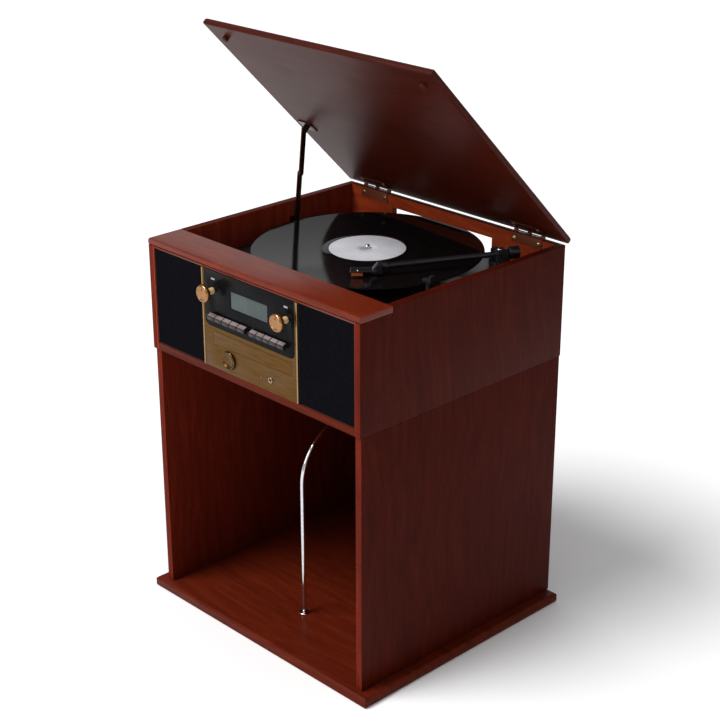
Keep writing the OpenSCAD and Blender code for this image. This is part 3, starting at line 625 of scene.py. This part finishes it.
# ---- Control panel -------------------------------------------------------------------
# Gloss black moulding with rounded lower corners, a grey-green display, two copper-gold
# knobs and two rows of piano keys.
gloss_black = moulded("gloss_black", (0.0028, 0.0028, 0.0036), (0.0048, 0.0048, 0.0060),
                      rough=(0.14, 0.26), relief=0.01, Specular_IOR_Level=0.05)
fit(eased("display_bezel", 0.5 * MM), "cabinet", gloss_black, "bezel_black", "display_bezel")

display, tree, shader = paint("display", Roughness=0.22, Specular_IOR_Level=0.2)
film = use_group(tree, moulded_tree, Vector=place(tree), Grain=600.0)
tree.links.new(ramp(tree, film.outputs["Mottle"], (0.25, (0.050, 0.066, 0.065)),
                    (0.75, (0.066, 0.086, 0.084))), shader.inputs["Base Color"])
bump(tree, shader, film.outputs["Height"], 0.03, 0.0001)
low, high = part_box("lcd_window")
fit(pad("display_glass", low, high, 0.35 * MM), "cabinet", display, "lcd", "lcd_window")
# unlit segments of the clock digits, a thin film on the glass
ghost = moulded("display_segments", (0.044, 0.058, 0.057), (0.056, 0.073, 0.071),
                rough=(0.25, 0.3), relief=0.0)
glass_face = low.y
mid_z = (low.z + high.z) / 2
SEG_LONG, SEG_WIDE, SEG_THICK = 5.2 * MM, 0.9 * MM, 0.05 * MM
DIGITS_AT = (-19, -9.5, 3.5, 13)
# across, up and whether upright, for the seven segments of a digit
SEVEN = ((0, 1, 0), (0, 0, 0), (0, -1, 0), (0, 0.5, 1), (1, 0.5, 1), (0, -0.5, 1), (1, -0.5, 1))
CORNERS = np.array([(x, y, z) for x in (-1, 1) for y in (-1, 1) for z in (-1, 1)])
SIDES = [(0, 1, 3, 2), (4, 6, 7, 5), (0, 4, 5, 1), (2, 3, 7, 6), (0, 2, 6, 4), (1, 5, 7, 3)]
bars = []
for left in DIGITS_AT:
    for dx, dz, upright in SEVEN:
        middle = (left * MM + (dx if upright else 0.5) * SEG_LONG, glass_face,
                  mid_z + dz * SEG_LONG * 1.15)
        across, tall = ((SEG_WIDE / 2, SEG_LONG * 0.46) if upright
                        else (SEG_LONG * 0.38, SEG_WIDE / 2))
        bars.append(np.array(middle) + CORNERS * (across, SEG_THICK, tall))
bar_faces = [[8 * k + j for j in f] for k in range(len(bars)) for f in SIDES]
segments = weld(to_mesh("display_digits", bars, bar_faces, smooth=False))
fit(segments, "cabinet", ghost, "lcd")

knob_copper = metal("knob_copper", (0.33, 0.160, 0.062), (0.50, 0.26, 0.115),
                    rough=(0.10, 0.22), relief=0.03, tarnish=(0.22, 0.10, 0.038), metallic=0.92)
# the stem's sleeve is a bright, nearly unmetallic gold: a painted highlight, so that the stem looks
# lit
sleeve_painted_bright = metal("sleeve_painted_bright", (0.72, 0.44, 0.20), (0.88, 0.60, 0.32), rough=(0.25, 0.4),
                    relief=0.02, metallic=0.15)
KNOB_R = 11.5
for tag in ("volume", "tuning"):
    low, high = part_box(tag + "_knob")
    at = ((low.x + high.x) / 2, low.y + 17.3 * MM, (low.z + high.z) / 2)
    rim = [(KNOB_R - 1.6, 10.9), (KNOB_R - 0.5, 11.5), (KNOB_R, 12.4), (KNOB_R, 13.4),
           (KNOB_R, 14.4), (KNOB_R, 15.2), (KNOB_R - 0.5, 16.1), (KNOB_R - 1.4, 16.9),
           (KNOB_R - 2.4, 17.25), (KNOB_R - 3.2, 17.3), (KNOB_R - 3.7, 16.9),
           (KNOB_R - 4.4, 16.6)]
    stem = [(0, -11.5), (3, -11.5), (3, -3), (3.6, -3), (3.6, 8.4), (4.0, 9.4), (5.6, 10.2)]
    knob = np.array(stem + rim + [(3, 16.35), (0, 16.3)]) * MM
    fit(turned(tag + "_knob_turned", knob, at, steps=240, axes=FRONT, flutes=60,
               flute_depth=0.28 * MM, flute_from=(KNOB_R - 0.01) * MM),
        tag + "_knob", knob_copper, "knob_copper", tag + "_knob")
    sleeve = np.array([(3.5, -1.5), (4.3, -1.5), (4.4, 0.5), (4.2, 1.2), (4.2, 7.6), (4.0, 8.2),
                       (3.5, 8.4), (3.5, -1.5)]) * MM
    fit(turned(tag + "_knob_sleeve", sleeve, at, steps=64, axes=FRONT), tag + "_knob",
        sleeve_painted_bright, "knob_copper")
    pointer = pad(tag + "_knob_mark", (at[0] - 0.5 * MM, at[1] - 16.75 * MM, at[2] + 4 * MM),
                  (at[0] + 0.5 * MM, at[1] - 16.3 * MM, at[2] + 7.4 * MM), 0.2 * MM, 2)
    fit(pointer, tag + "_knob", gloss_black, "knob_copper")

key_face, tree, shader = paint("key_face", Metallic=0.2, Specular_IOR_Level=0.3)
skin = use_group(tree, moulded_tree, Vector=place(tree))
up = add(tree, "SeparateXYZ", {"Vector": add(tree, "NewGeometry").outputs["Normal"]})
# painted light and shade: the key tops are light and the fronts and sides are painted near black as
# shade
lit_top_mask = between(tree, up.outputs["Z"], 0.62, 0.9)
lit_top_colour = ramp(tree, skin.outputs["Mottle"], (0.3, (0.22, 0.175, 0.172)),
                 (0.7, (0.31, 0.25, 0.245)))
keys_lit_and_shaded = mixed(tree, lit_top_mask, (0.020, 0.014, 0.015, 1), lit_top_colour)
tree.links.new(keys_lit_and_shaded, shader.inputs["Base Color"])
tree.links.new(scaled(tree, skin.outputs["Mottle"], 0.26, 0.38), shader.inputs["Roughness"])
bump(tree, shader, skin.outputs["Height"], 0.05, 0.0001)
for k in range(1, 11):
    node = "key_%d" % k
    fit(eased(node, 0.55 * MM), node, key_face, "key_mauve", node)

silver_ink = metal("silver_ink", (0.30, 0.30, 0.31), (0.42, 0.42, 0.43), rough=(0.3, 0.4),
                   metallic=0.6)
panel_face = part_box("display_bezel")[0].y
for tag, x, z in (("plate_volume", -66 * MM, 488 * MM), ("plate_tuning", 68 * MM, 488 * MM)):
    chip = pad(tag, (x - 3.4 * MM, panel_face - 0.25 * MM, z - 1.2 * MM),
               (x + 3.4 * MM, panel_face + 0.2 * MM, z + 1.2 * MM), 0.24 * MM, 3)
    fit(chip, "cabinet", silver_ink, "key_mauve")


# ---- Loudspeaker grilles -------------------------------------------------------------
# Black cloth stretched over a moulded frame and turned back at its edges. Behind it a
# raw board carries the driver.
weave_tree, given, gives = new_group("plain_weave", [("Vector", None), ("Threads", 1400.0)],
                                     [("Height", "Float"), ("Shade", "Float")])
parts = add(weave_tree, "SeparateXYZ", {"Vector": given.outputs["Vector"]})
threads = []
for axis in ("X", "Z"):
    phase = worked(weave_tree, "MULTIPLY", parts.outputs[axis], given.outputs["Threads"])
    wave = worked(weave_tree, "SINE", phase)
    threads.append(worked(weave_tree, "ABSOLUTE", wave))
both = worked(weave_tree, "MULTIPLY", threads[0], threads[1])
fuzz = noise(weave_tree, given.outputs["Vector"], 260.0, 3.0)
weave_tree.links.new(both, gives.inputs["Height"])
weave_tree.links.new(fuzz, gives.inputs["Shade"])

cloth, tree, shader = paint("speaker_cloth", Specular_IOR_Level=0.02)
weave = use_group(tree, weave_tree, Vector=place(tree))
wear = use_group(tree, wear_tree, Vector=place(tree))
yarn = ramp(tree, weave.outputs["Shade"], (0.3, (0.0022, 0.0022, 0.0036)),
            (0.7, (0.0040, 0.0040, 0.0062)))
open_weave = mixed(tree, scaled(tree, weave.outputs["Height"], 0.55, 0.0), yarn,
                   (0.003, 0.003, 0.004, 1))
tree.links.new(open_weave, shader.inputs["Base Color"])
tree.links.new(scaled(tree, wear.outputs["Smear"], 0.75, 0.9), shader.inputs["Roughness"])
bump(tree, shader, weave.outputs["Height"], 0.35, 0.0002)
grille_frame = moulded("grille_frame", (0.010, 0.011, 0.014), (0.018, 0.019, 0.023),
                       rough=(0.55, 0.7))
TURN_BACK, ROUND, CLOTH_OFF, PILLOW = 3.0 * MM, 1.0 * MM, 0.12 * MM, 0.5 * MM


def dress(node, skin):
    """Gives a CAD node that stays as it is its finish."""
    nodes[node].data.materials.clear()
    nodes[node].data.materials.append(skin)


def drape(flat):
    """Distance out from the middle and distance back, along a cloth that runs flat to the
    edge, a quarter round over it and then straight back; mirrored to both sides."""
    s = np.concatenate([np.linspace(0, 1, 25)[:-1], 1 + np.linspace(0, 1, 7)[:-1],
                        2 + np.linspace(0, 1, 4)])
    turn = np.clip(s - 1, 0, 1) * np.pi / 2
    out = np.minimum(s, 1) * flat + ROUND * np.sin(turn)
    behind = ROUND * (1 - np.cos(turn)) + np.clip(s - 2, 0, 1) * TURN_BACK
    return np.concatenate([-out[::-1], out[1:]]), np.concatenate([behind[::-1], behind[1:]])


for side in ("left", "right"):
    node = "grille_" + side
    low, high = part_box(node)
    dress(node, grille_frame)
    half_w, half_h = (high.x - low.x) / 2 - ROUND, (high.z - low.z) / 2 - ROUND
    u, u_back = drape(half_w)
    v, v_back = drape(half_h)
    X, Z = np.meshgrid(u, v, indexing="ij")
    back = np.maximum(u_back[:, None], v_back[None, :])
    crown = [np.cos(np.clip(w / half, -1, 1) * np.pi / 2) for w, half in ((X, half_w), (Z, half_h))]
    pillow = PILLOW * crown[0] * crown[1]
    Y = low.y - CLOTH_OFF - pillow + back
    pts = np.stack([(low.x + high.x) / 2 + X, Y, (low.z + high.z) / 2 + Z], -1)
    sheet = to_mesh("grille_cloth_" + side, pts, grid_faces(len(u), len(v)))
    weld(sheet, outward=False)
    if np.mean([p.normal.y * p.area for p in sheet.data.polygons]) > 0:
        sheet.data.flip_normals()
    fit(sheet, "cabinet", cloth, "grille_black")

board_brown = veneer("raw_board", "x", (0, 0, 0), dark=(0.16, 0.10, 0.05),
                     mid=(0.24, 0.155, 0.08), light=(0.33, 0.22, 0.12), gloss=0.75)
cone_black = moulded("cone_black", (0.012, 0.012, 0.013), (0.03, 0.03, 0.03), rough=(0.6, 0.8))
dress("speaker_baffles", board_brown)
dress("speakers", cone_black)
dress("deck_cleats", board_brown)


# ---- Works behind the front ----------------------------------------------------------
# Circuit board, disc mechanism, transformer and motor. All are fixed inside the box and
# out of sight, so each keeps its plain shape and gets its own finish.
board_green = moulded("board_green", (0.008, 0.06, 0.028), (0.014, 0.10, 0.048),
                      rough=(0.3, 0.45))
zinc = metal("zinc", (0.26, 0.26, 0.27), (0.38, 0.38, 0.39), rough=(0.3, 0.45),
             stretch=(1, 1, 0.1))
matt_black = moulded("matt_black", (0.014, 0.014, 0.015), (0.026, 0.026, 0.028),
                     rough=(0.45, 0.62), relief=0.2)
dress("front_board", board_green)
dress("cd_mechanism", matt_black)
dress("transformer", zinc)
dress("motor", zinc)


# ---- Turntable -----------------------------------------------------------------------
# Satin black deck, turned platter with a ribbed mat, and a long-playing record whose
# bands of grooves are parted by smooth lead-ins; plain paper label.
deck_black = moulded("deck_black", (0.006, 0.006, 0.007), (0.011, 0.011, 0.0125),
                     rough=(0.30, 0.42), relief=0.15)
fit(eased("deck_plate", 0.6 * MM), "cabinet", deck_black, "deck_black", "deck_plate")

low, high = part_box("record")
rec_x, rec_y, play_z = (low.x + high.x) / 2, (low.y + high.y) / 2, high.z
centre = (rec_x, rec_y, 0.0)
p_low, p_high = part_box("platter")
p_r, p_top = (p_high.x - p_low.x) / 2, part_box("platter_mat")[0].z
platter_alu = metal("platter_turned", (0.36, 0.36, 0.37), (0.52, 0.52, 0.53), rough=(0.25, 0.4))
rim_z = p_top - 15.2 * MM
platter_line = [(0, p_high.z), (1.2 * MM, p_high.z - 0.1 * MM), (2.6 * MM, p_high.z - 0.8 * MM),
                (3.5 * MM, p_high.z - 2.4 * MM), (3.5 * MM, p_top), (p_r - 0.8 * MM, p_top),
                (p_r, p_top - 0.8 * MM), (p_r, rim_z + 5 * MM),
                (p_r - 0.7 * MM, rim_z + 4.4 * MM), (p_r - 0.7 * MM, rim_z + 2.4 * MM),
                (p_r, rim_z + 1.8 * MM), (p_r, rim_z + 0.6 * MM), (p_r - 0.6 * MM, rim_z),
                (p_r - 4 * MM, rim_z), (p_r - 4 * MM, rim_z + 9 * MM),
                (14 * MM, rim_z + 9 * MM), (14 * MM, rim_z - 1 * MM), (4 * MM, rim_z - 1 * MM),
                (4 * MM, p_low.z), (0, p_low.z)]
fit(turned("platter_turned", platter_line[::-1], centre, steps=160), "platter", platter_alu,
    "platter_alu", "platter")
mat_rubber = moulded("mat_rubber", (0.012, 0.012, 0.013), (0.022, 0.022, 0.024),
                     rough=(0.55, 0.7))
m_low, m_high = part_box("platter_mat")
ribs = [(3.56 * MM, m_low.z), (p_r - 1 * MM, m_low.z)]
for r in np.arange(p_r - 1 * MM, 54 * MM, -3 * MM):
    ribs += [(r, m_high.z), (r - 1.2 * MM, m_high.z), (r - 1.6 * MM, m_high.z - 0.6 * MM),
             (r - 2.6 * MM, m_high.z - 0.6 * MM)]
ribs += [(50 * MM, m_high.z), (3.56 * MM, m_high.z), (3.56 * MM, m_low.z)]
fit(turned("platter_mat_ribbed", ribs, centre, steps=128), "platter", mat_rubber, "mat_rubber",
    "platter_mat")

# radians of groove ripple to the metre
GROOVES = 9500.0
groove_tree, given, gives = new_group("groove_bands", [("Vector", None)],
                                      [("Groove", "Float"), ("Band", "Float")])
flat_xy = add(groove_tree, "VectorMath", {0: given.outputs["Vector"], 1: (1, 1, 0)},
              operation="MULTIPLY")
from_middle = add(groove_tree, "VectorMath", {0: flat_xy.outputs["Vector"]},
                  operation="LENGTH").outputs["Value"]
turns = worked(groove_tree, "MULTIPLY", from_middle, GROOVES)
groove = worked(groove_tree, "SINE", turns)
ring_vec = add(groove_tree, "CombineXYZ", {"X": from_middle})
band = noise(groove_tree, ring_vec.outputs["Vector"], 130.0, 3.0)
groove_tree.links.new(groove, gives.inputs["Groove"])
groove_tree.links.new(band, gives.inputs["Band"])

vinyl, tree, shader = paint("vinyl", Specular_IOR_Level=0.14)
where = place(tree, shift=(-rec_x, -rec_y, 0))
lines = use_group(tree, groove_tree, Vector=where)
wear = use_group(tree, wear_tree, Vector=where)
base = ramp(tree, lines.outputs["Band"], (0.35, (0.0015, 0.0015, 0.0017)),
            (0.65, (0.0035, 0.0035, 0.004)))
dusty = mixed(tree, scaled(tree, wear.outputs["Dust"], 0.0, 0.06), base, (0.5, 0.5, 0.5, 1))
tree.links.new(dusty, shader.inputs["Base Color"])
tree.links.new(scaled(tree, lines.outputs["Band"], 0.02, 0.12), shader.inputs["Roughness"])
bump(tree, shader, lines.outputs["Groove"], 0.02, 0.00003)
r_out = (high.x - low.x) / 2
hole = 3.56 * MM
bottom, half = low.z, 0.9 * MM
LABEL_R = 50 * MM
vinyl_line = [(hole, bottom), (r_out - 1.2 * MM, bottom), (r_out - 0.4 * MM, bottom + 0.3 * MM),
              (r_out, bottom + half), (r_out - 0.35 * MM, play_z - 0.25 * MM),
              (r_out - 1.0 * MM, play_z), (r_out - 2.8 * MM, play_z - 0.04 * MM),
              (r_out - 4.0 * MM, play_z - 0.3 * MM)]
vinyl_line += [(60 * MM, play_z - 0.30 * MM), (58.8 * MM, play_z - 0.42 * MM),
               (52 * MM, play_z - 0.36 * MM), (51 * MM, play_z - 0.02 * MM), (LABEL_R, play_z),
               (LABEL_R - 0.4 * MM, play_z - 0.12 * MM), (hole, play_z - 0.12 * MM),
               (hole, bottom)]
fit(turned("record_pressing", vinyl_line, centre, steps=256), "platter", vinyl, "vinyl", "record")

# radius and half width of the two fine lines printed round the label
INNER_RING, OUTER_RING = (0.0165, 0.0004), (0.0475, 0.0003)
paper, tree, shader = paint("label_paper", Specular_IOR_Level=0.25)
where = place(tree, shift=(-rec_x, -rec_y, 0))
fibre = use_group(tree, moulded_tree, Vector=where, Grain=1800.0)
flat_xy = add(tree, "VectorMath", {0: where, 1: (1, 1, 0)}, operation="MULTIPLY")
from_middle = add(tree, "VectorMath", {0: flat_xy.outputs["Vector"]},
                  operation="LENGTH").outputs["Value"]
paper_base = ramp(tree, fibre.outputs["Mottle"], (0.3, (0.50, 0.50, 0.53)),
                  (0.7, (0.60, 0.60, 0.63)))
ring_in = worked(tree, "COMPARE", from_middle, *INNER_RING)
ring_out = worked(tree, "COMPARE", from_middle, *OUTER_RING)
ringed = worked(tree, "ADD", ring_in, ring_out)
printed = mixed(tree, scaled(tree, ringed, 0.0, 0.12), paper_base, (0.16, 0.16, 0.18, 1))
tree.links.new(printed, shader.inputs["Base Color"])
tree.links.new(scaled(tree, fibre.outputs["Mottle"], 0.5, 0.62), shader.inputs["Roughness"])
bump(tree, shader, fibre.outputs["Height"], 0.15, 0.0001)
label_line = [(hole, play_z - 0.10 * MM), (hole, play_z + 0.02 * MM),
              (16 * MM, play_z + 0.03 * MM), (LABEL_R - 0.5 * MM, play_z + 0.03 * MM),
              (LABEL_R - 0.15 * MM, play_z - 0.02 * MM),
              (LABEL_R - 0.5 * MM, play_z - 0.10 * MM), (hole, play_z - 0.10 * MM)]
fit(turned("record_label", label_line, centre, steps=192), "platter", paper, "vinyl")
tip = [(0, play_z - 1 * MM), (3.53 * MM, play_z - 1 * MM), (3.53 * MM, p_high.z - 2.3 * MM),
       (2.7 * MM, p_high.z - 0.7 * MM), (1.3 * MM, p_high.z - 0.05 * MM), (0, p_high.z + 0.05 * MM)]
fit(turned("spindle_tip", tip, centre, steps=48), "platter", chrome, "platter_alu")


# ---- Tonearm -------------------------------------------------------------------------
# Black arm on a round base at the back right: yoke, tube, headshell with an orange
# cartridge, counterweight, parking post and cue lever.
arm_satin = moulded("arm_satin", (0.008, 0.008, 0.010), (0.016, 0.016, 0.019),
                    rough=(0.2, 0.34), relief=0.05)
arm_tube_black = metal("arm_tube_black", (0.020, 0.020, 0.023), (0.036, 0.036, 0.040),
                       rough=(0.18, 0.3), metallic=0.55, relief=0.03)
orange = moulded("cartridge_orange", (0.46, 0.095, 0.022), (0.66, 0.17, 0.045),
                 rough=(0.2, 0.35), relief=0.05, Coat_Weight=0.3)
for node, body, skin, slot, ease in (
        ("arm_base", "cabinet", arm_satin, "arm_black", 0.7),
        ("arm_rest", "cabinet", arm_satin, "arm_black", 0.5),
        ("arm_gimbal", "arm_yoke", arm_tube_black, "arm_metal", 0.8),
        ("arm_tube", "arm", arm_tube_black, "arm_metal", 0.4),
        ("headshell", "arm", arm_satin, "arm_black", 0.45),
        ("cartridge", "arm", orange, "cartridge_orange", 0.3),
        ("counterweight", "arm", arm_tube_black, "arm_metal", 0.9),
        ("cue_lever", "cue_lever", arm_satin, "arm_metal", 0.5)):
    fit(eased(node, ease * MM), body, skin, slot, node)

low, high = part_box("arm_gimbal")
cap = np.array([(0, 1.6), (1.4, 1.45), (2.6, 1.0), (3.4, 0.2), (3.6, -1.2), (0, -1.2)]) * MM
tube_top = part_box("arm_tube")[1].z
pivot = ((low.x + high.x) / 2, (low.y + high.y) / 2, tube_top)
fit(turned("arm_pivot_cap", cap, pivot, steps=56), "arm", chrome, "arm_metal")
low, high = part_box("headshell")
# the arm at rest stands in from straight ahead, and the headshell is set in further
ARM_IN, SHELL_IN = 28.5, 15.0
head_turn = -math.radians(ARM_IN + SHELL_IN)
nose = np.array((math.sin(head_turn), -math.cos(head_turn), 0.0))
beside = np.array((-nose[1], nose[0], 0.0))
c_low, c_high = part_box("cartridge")
shell_top = np.array(((c_low.x + c_high.x) / 2, (c_low.y + c_high.y) / 2, low.z + 6.0 * MM))
lift = np.array([shell_top + beside * 6.5 * MM, shell_top + beside * 9.5 * MM,
                 shell_top + beside * 13 * MM + (0, 0, 0.8 * MM),
                 shell_top + beside * 15.5 * MM - nose * 1.5 * MM + (0, 0, 2.4 * MM)])
fit(swept("finger_lift", lift, 0.8 * MM, 16), "arm", chrome, "arm_metal")


# ---- Hinges and stay -----------------------------------------------------------------
# Two butt hinges of coppery brown steel, each leaf held by brass screws. A folding stay of
# two dark bars holds the lid up at the left.
# the fixed leaves and the lid's leaves are lit and shaded copies of one steel: the lid's are
# painted darker as shade, each matching the tone of the wood it lies on
hinge_lit_brown = metal("hinge_lit_brown", (0.16, 0.034, 0.012), (0.22, 0.050, 0.018),
                    rough=(0.4, 0.52), metallic=0.15, tarnish=(0.12, 0.024, 0.009))
hinge_lid_shaded = metal("hinge_lid_shaded", (0.055, 0.0085, 0.0042), (0.080, 0.0140, 0.0070),
                        rough=(0.4, 0.52), metallic=0.15, tarnish=(0.045, 0.007, 0.0035))
stay_bronze = metal("stay_bronze", (0.040, 0.016, 0.011), (0.080, 0.034, 0.024),
                    rough=(0.22, 0.36), metallic=0.85, stretch=(1, 1, 0.08), lines=900.0)
brass = metal("screw_brass", (0.46, 0.29, 0.13), (0.66, 0.45, 0.23), rough=(0.2, 0.35))
fit(eased("hinge_leaves_fixed", 0.25 * MM, steps=2), "cabinet", hinge_lit_brown, "hinge_bronze",
    "hinge_leaves_fixed")
fit(eased("hinge_leaves_lid", 0.25 * MM, steps=2), "lid", hinge_lid_shaded, "hinge_bronze",
    "hinge_leaves_lid")
for node, body in (("stay_wall_bracket", "cabinet"), ("stay_lid_bracket", "lid"),
                   ("stay_lower_arm", "stay_lower"), ("stay_upper_arm", "stay_upper")):
    fit(eased(node, 0.3 * MM, steps=2), body, stay_bronze, "hinge_bronze", node)


def screw(name, at, normal, radius, body, skin, slot, slot_turn, *stands_for):
    """A domed screw head with a straight slot: a turned dome whose points within the slot's
    half width are pushed down to its floor."""
    n = np.asarray(normal, float)
    n /= np.linalg.norm(n)
    ref = np.array([1.0, 0, 0]) if abs(n[0]) < 0.9 else np.array([0, 1.0, 0])
    a = np.cross(n, ref)
    a /= np.linalg.norm(a)
    b = np.cross(n, a)
    cos, sin = math.cos(slot_turn), math.sin(slot_turn)
    a, b = a * cos + b * sin, b * cos - a * sin
    r, t = np.meshgrid(np.linspace(0, 1, 14), np.linspace(0, 2 * np.pi, 48, endpoint=False),
                       indexing="ij")
    px, py = radius * r * np.cos(t), radius * r * np.sin(t)
    dome = radius * 0.42 * np.sqrt(np.clip(1.06 - r ** 2, 0, 1))
    h = np.where(np.abs(px) < radius * 0.14, dome * 0.35, dome)
    h[-1] = 0
    pts = np.asarray(at, float) + px[..., None] * a + py[..., None] * b + h[..., None] * n
    base_ring = np.asarray(at, float) + np.zeros_like(pts[:1])
    made = weld(to_mesh(name, np.concatenate([pts, base_ring]),
                        grid_faces(len(r) + 1, len(r[0]), wrap_v=True)))
    fit(made, body, skin, slot, *stands_for)


low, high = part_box("hinge_screws")
hinge_xs = [s * x for s in (-1, 1) for x in (high.x - 3 * MM, high.x - 43 * MM)]
for k, x in enumerate(hinge_xs):
    screw("hinge_screw_%d" % (k + 1), (x, high.y, (low.z + high.z) / 2), (0, -1, 0), 3 * MM,
          "cabinet", brass, "screw_brass", 0.5 + 0.7 * k, *(["hinge_screws"] if k == 0 else []))
OPEN = math.radians(45.2)
axis_y, axis_z = frame["joints"][0]["pos_m"][1:]


def on_lid(forward, over):
    """Where a point of the shut lid, forward of and over the hinge axis, is with it open: the
    two distances turned about the axis by the angle of opening."""
    return (axis_y - forward * math.cos(OPEN) + over * math.sin(OPEN),
            axis_z + forward * math.sin(OPEN) + over * math.cos(OPEN))


under = (0.0, -math.sin(OPEN), -math.cos(OPEN))
y, z = on_lid(13 * MM, 1.3 * MM)
for k, x in enumerate(hinge_xs):
    screw("lid_screw_%d" % (k + 1), (x, y, z), under, 2.6 * MM, "lid", brass, "screw_brass",
          1.1 + 0.9 * k)


# ---- Back panel fittings -------------------------------------------------------------
# A moulded plate with a pair of phono sockets and a two-pin mains inlet. Steel screws hold
# the plate and both back panels.
fit(eased("rear_socket_plate", 0.5 * MM), "cabinet", matt_black, "socket_black",
    "rear_socket_plate")
low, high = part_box("rear_socket_plate")
BACK = ((0, 0, 1), (-1, 0, 0), (0, 1, 0))
mid_x, mid_z = (low.x + high.x) / 2, (low.z + high.z) / 2
white_ring = moulded("socket_white", (0.5, 0.5, 0.48), (0.62, 0.62, 0.6), rough=(0.3, 0.4))
red_ring = moulded("socket_red", (0.30, 0.02, 0.015), (0.42, 0.035, 0.025), rough=(0.3, 0.4))
for k, skin in enumerate((white_ring, red_ring)):
    at = (mid_x - 28 * MM + k * 16 * MM, high.y - 1.8 * MM, mid_z + 4 * MM)
    collar_line = np.array([(4.5, -0.2), (6.2, -0.2), (6.2, 0.4), (5.8, 0.7), (4.9, 0.7),
                            (4.5, 0.4), (4.5, -0.2)]) * MM
    fit(turned("phono_ring_%d" % (k + 1), collar_line, at, steps=56, axes=BACK), "cabinet",
        skin, "socket_black")
for k, dx in enumerate((17, 25)):
    pin = np.array([(0, 0), (1.1, 0), (1.1, 4.6), (0.7, 5.2), (0, 5.4)]) * MM
    fit(turned("inlet_pin_%d" % (k + 1), pin, (mid_x + dx * MM, low.y + 1 * MM, mid_z),
               steps=24, axes=BACK), "cabinet", brass, "screw_brass")
steel_screw = metal("panel_screw_steel", (0.05, 0.05, 0.052), (0.1, 0.1, 0.1), rough=(0.3, 0.45))
u_low, u_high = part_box("unit_back_panel")
s_low, s_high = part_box("stand_back_panel")
# the screws stand in from the panels' edges, none at half height in the middle
INSET, UNIT_IN, STAND_IN = 10 * MM, 12 * MM, 14 * MM
spots = [(x, z) for x in (u_low.x + INSET, u_high.x - INSET)
         for z in (u_low.z + UNIT_IN, u_high.z - UNIT_IN)]
stand_rows = (s_low.z + STAND_IN, (s_low.z + s_high.z) / 2, s_high.z - STAND_IN)
spots += [(x, z) for x in (s_low.x + INSET, 0.0, s_high.x - INSET) for z in stand_rows
          if x != 0.0 or z != stand_rows[1]]
spots += [(mid_x + dx, mid_z) for dx in (-38 * MM, 38 * MM)]
for k, (x, z) in enumerate(spots):
    on_plate = k >= len(spots) - 2
    screw("panel_screw_%02d" % (k + 1), (x, high.y - 1.8 * MM if on_plate else u_high.y, z),
          (0, 1, 0), 2.2 * MM if on_plate else 3.2 * MM, "cabinet", steel_screw, "steel_grey",
          0.3 + 0.8 * k)

bpy.context.view_layer.update()
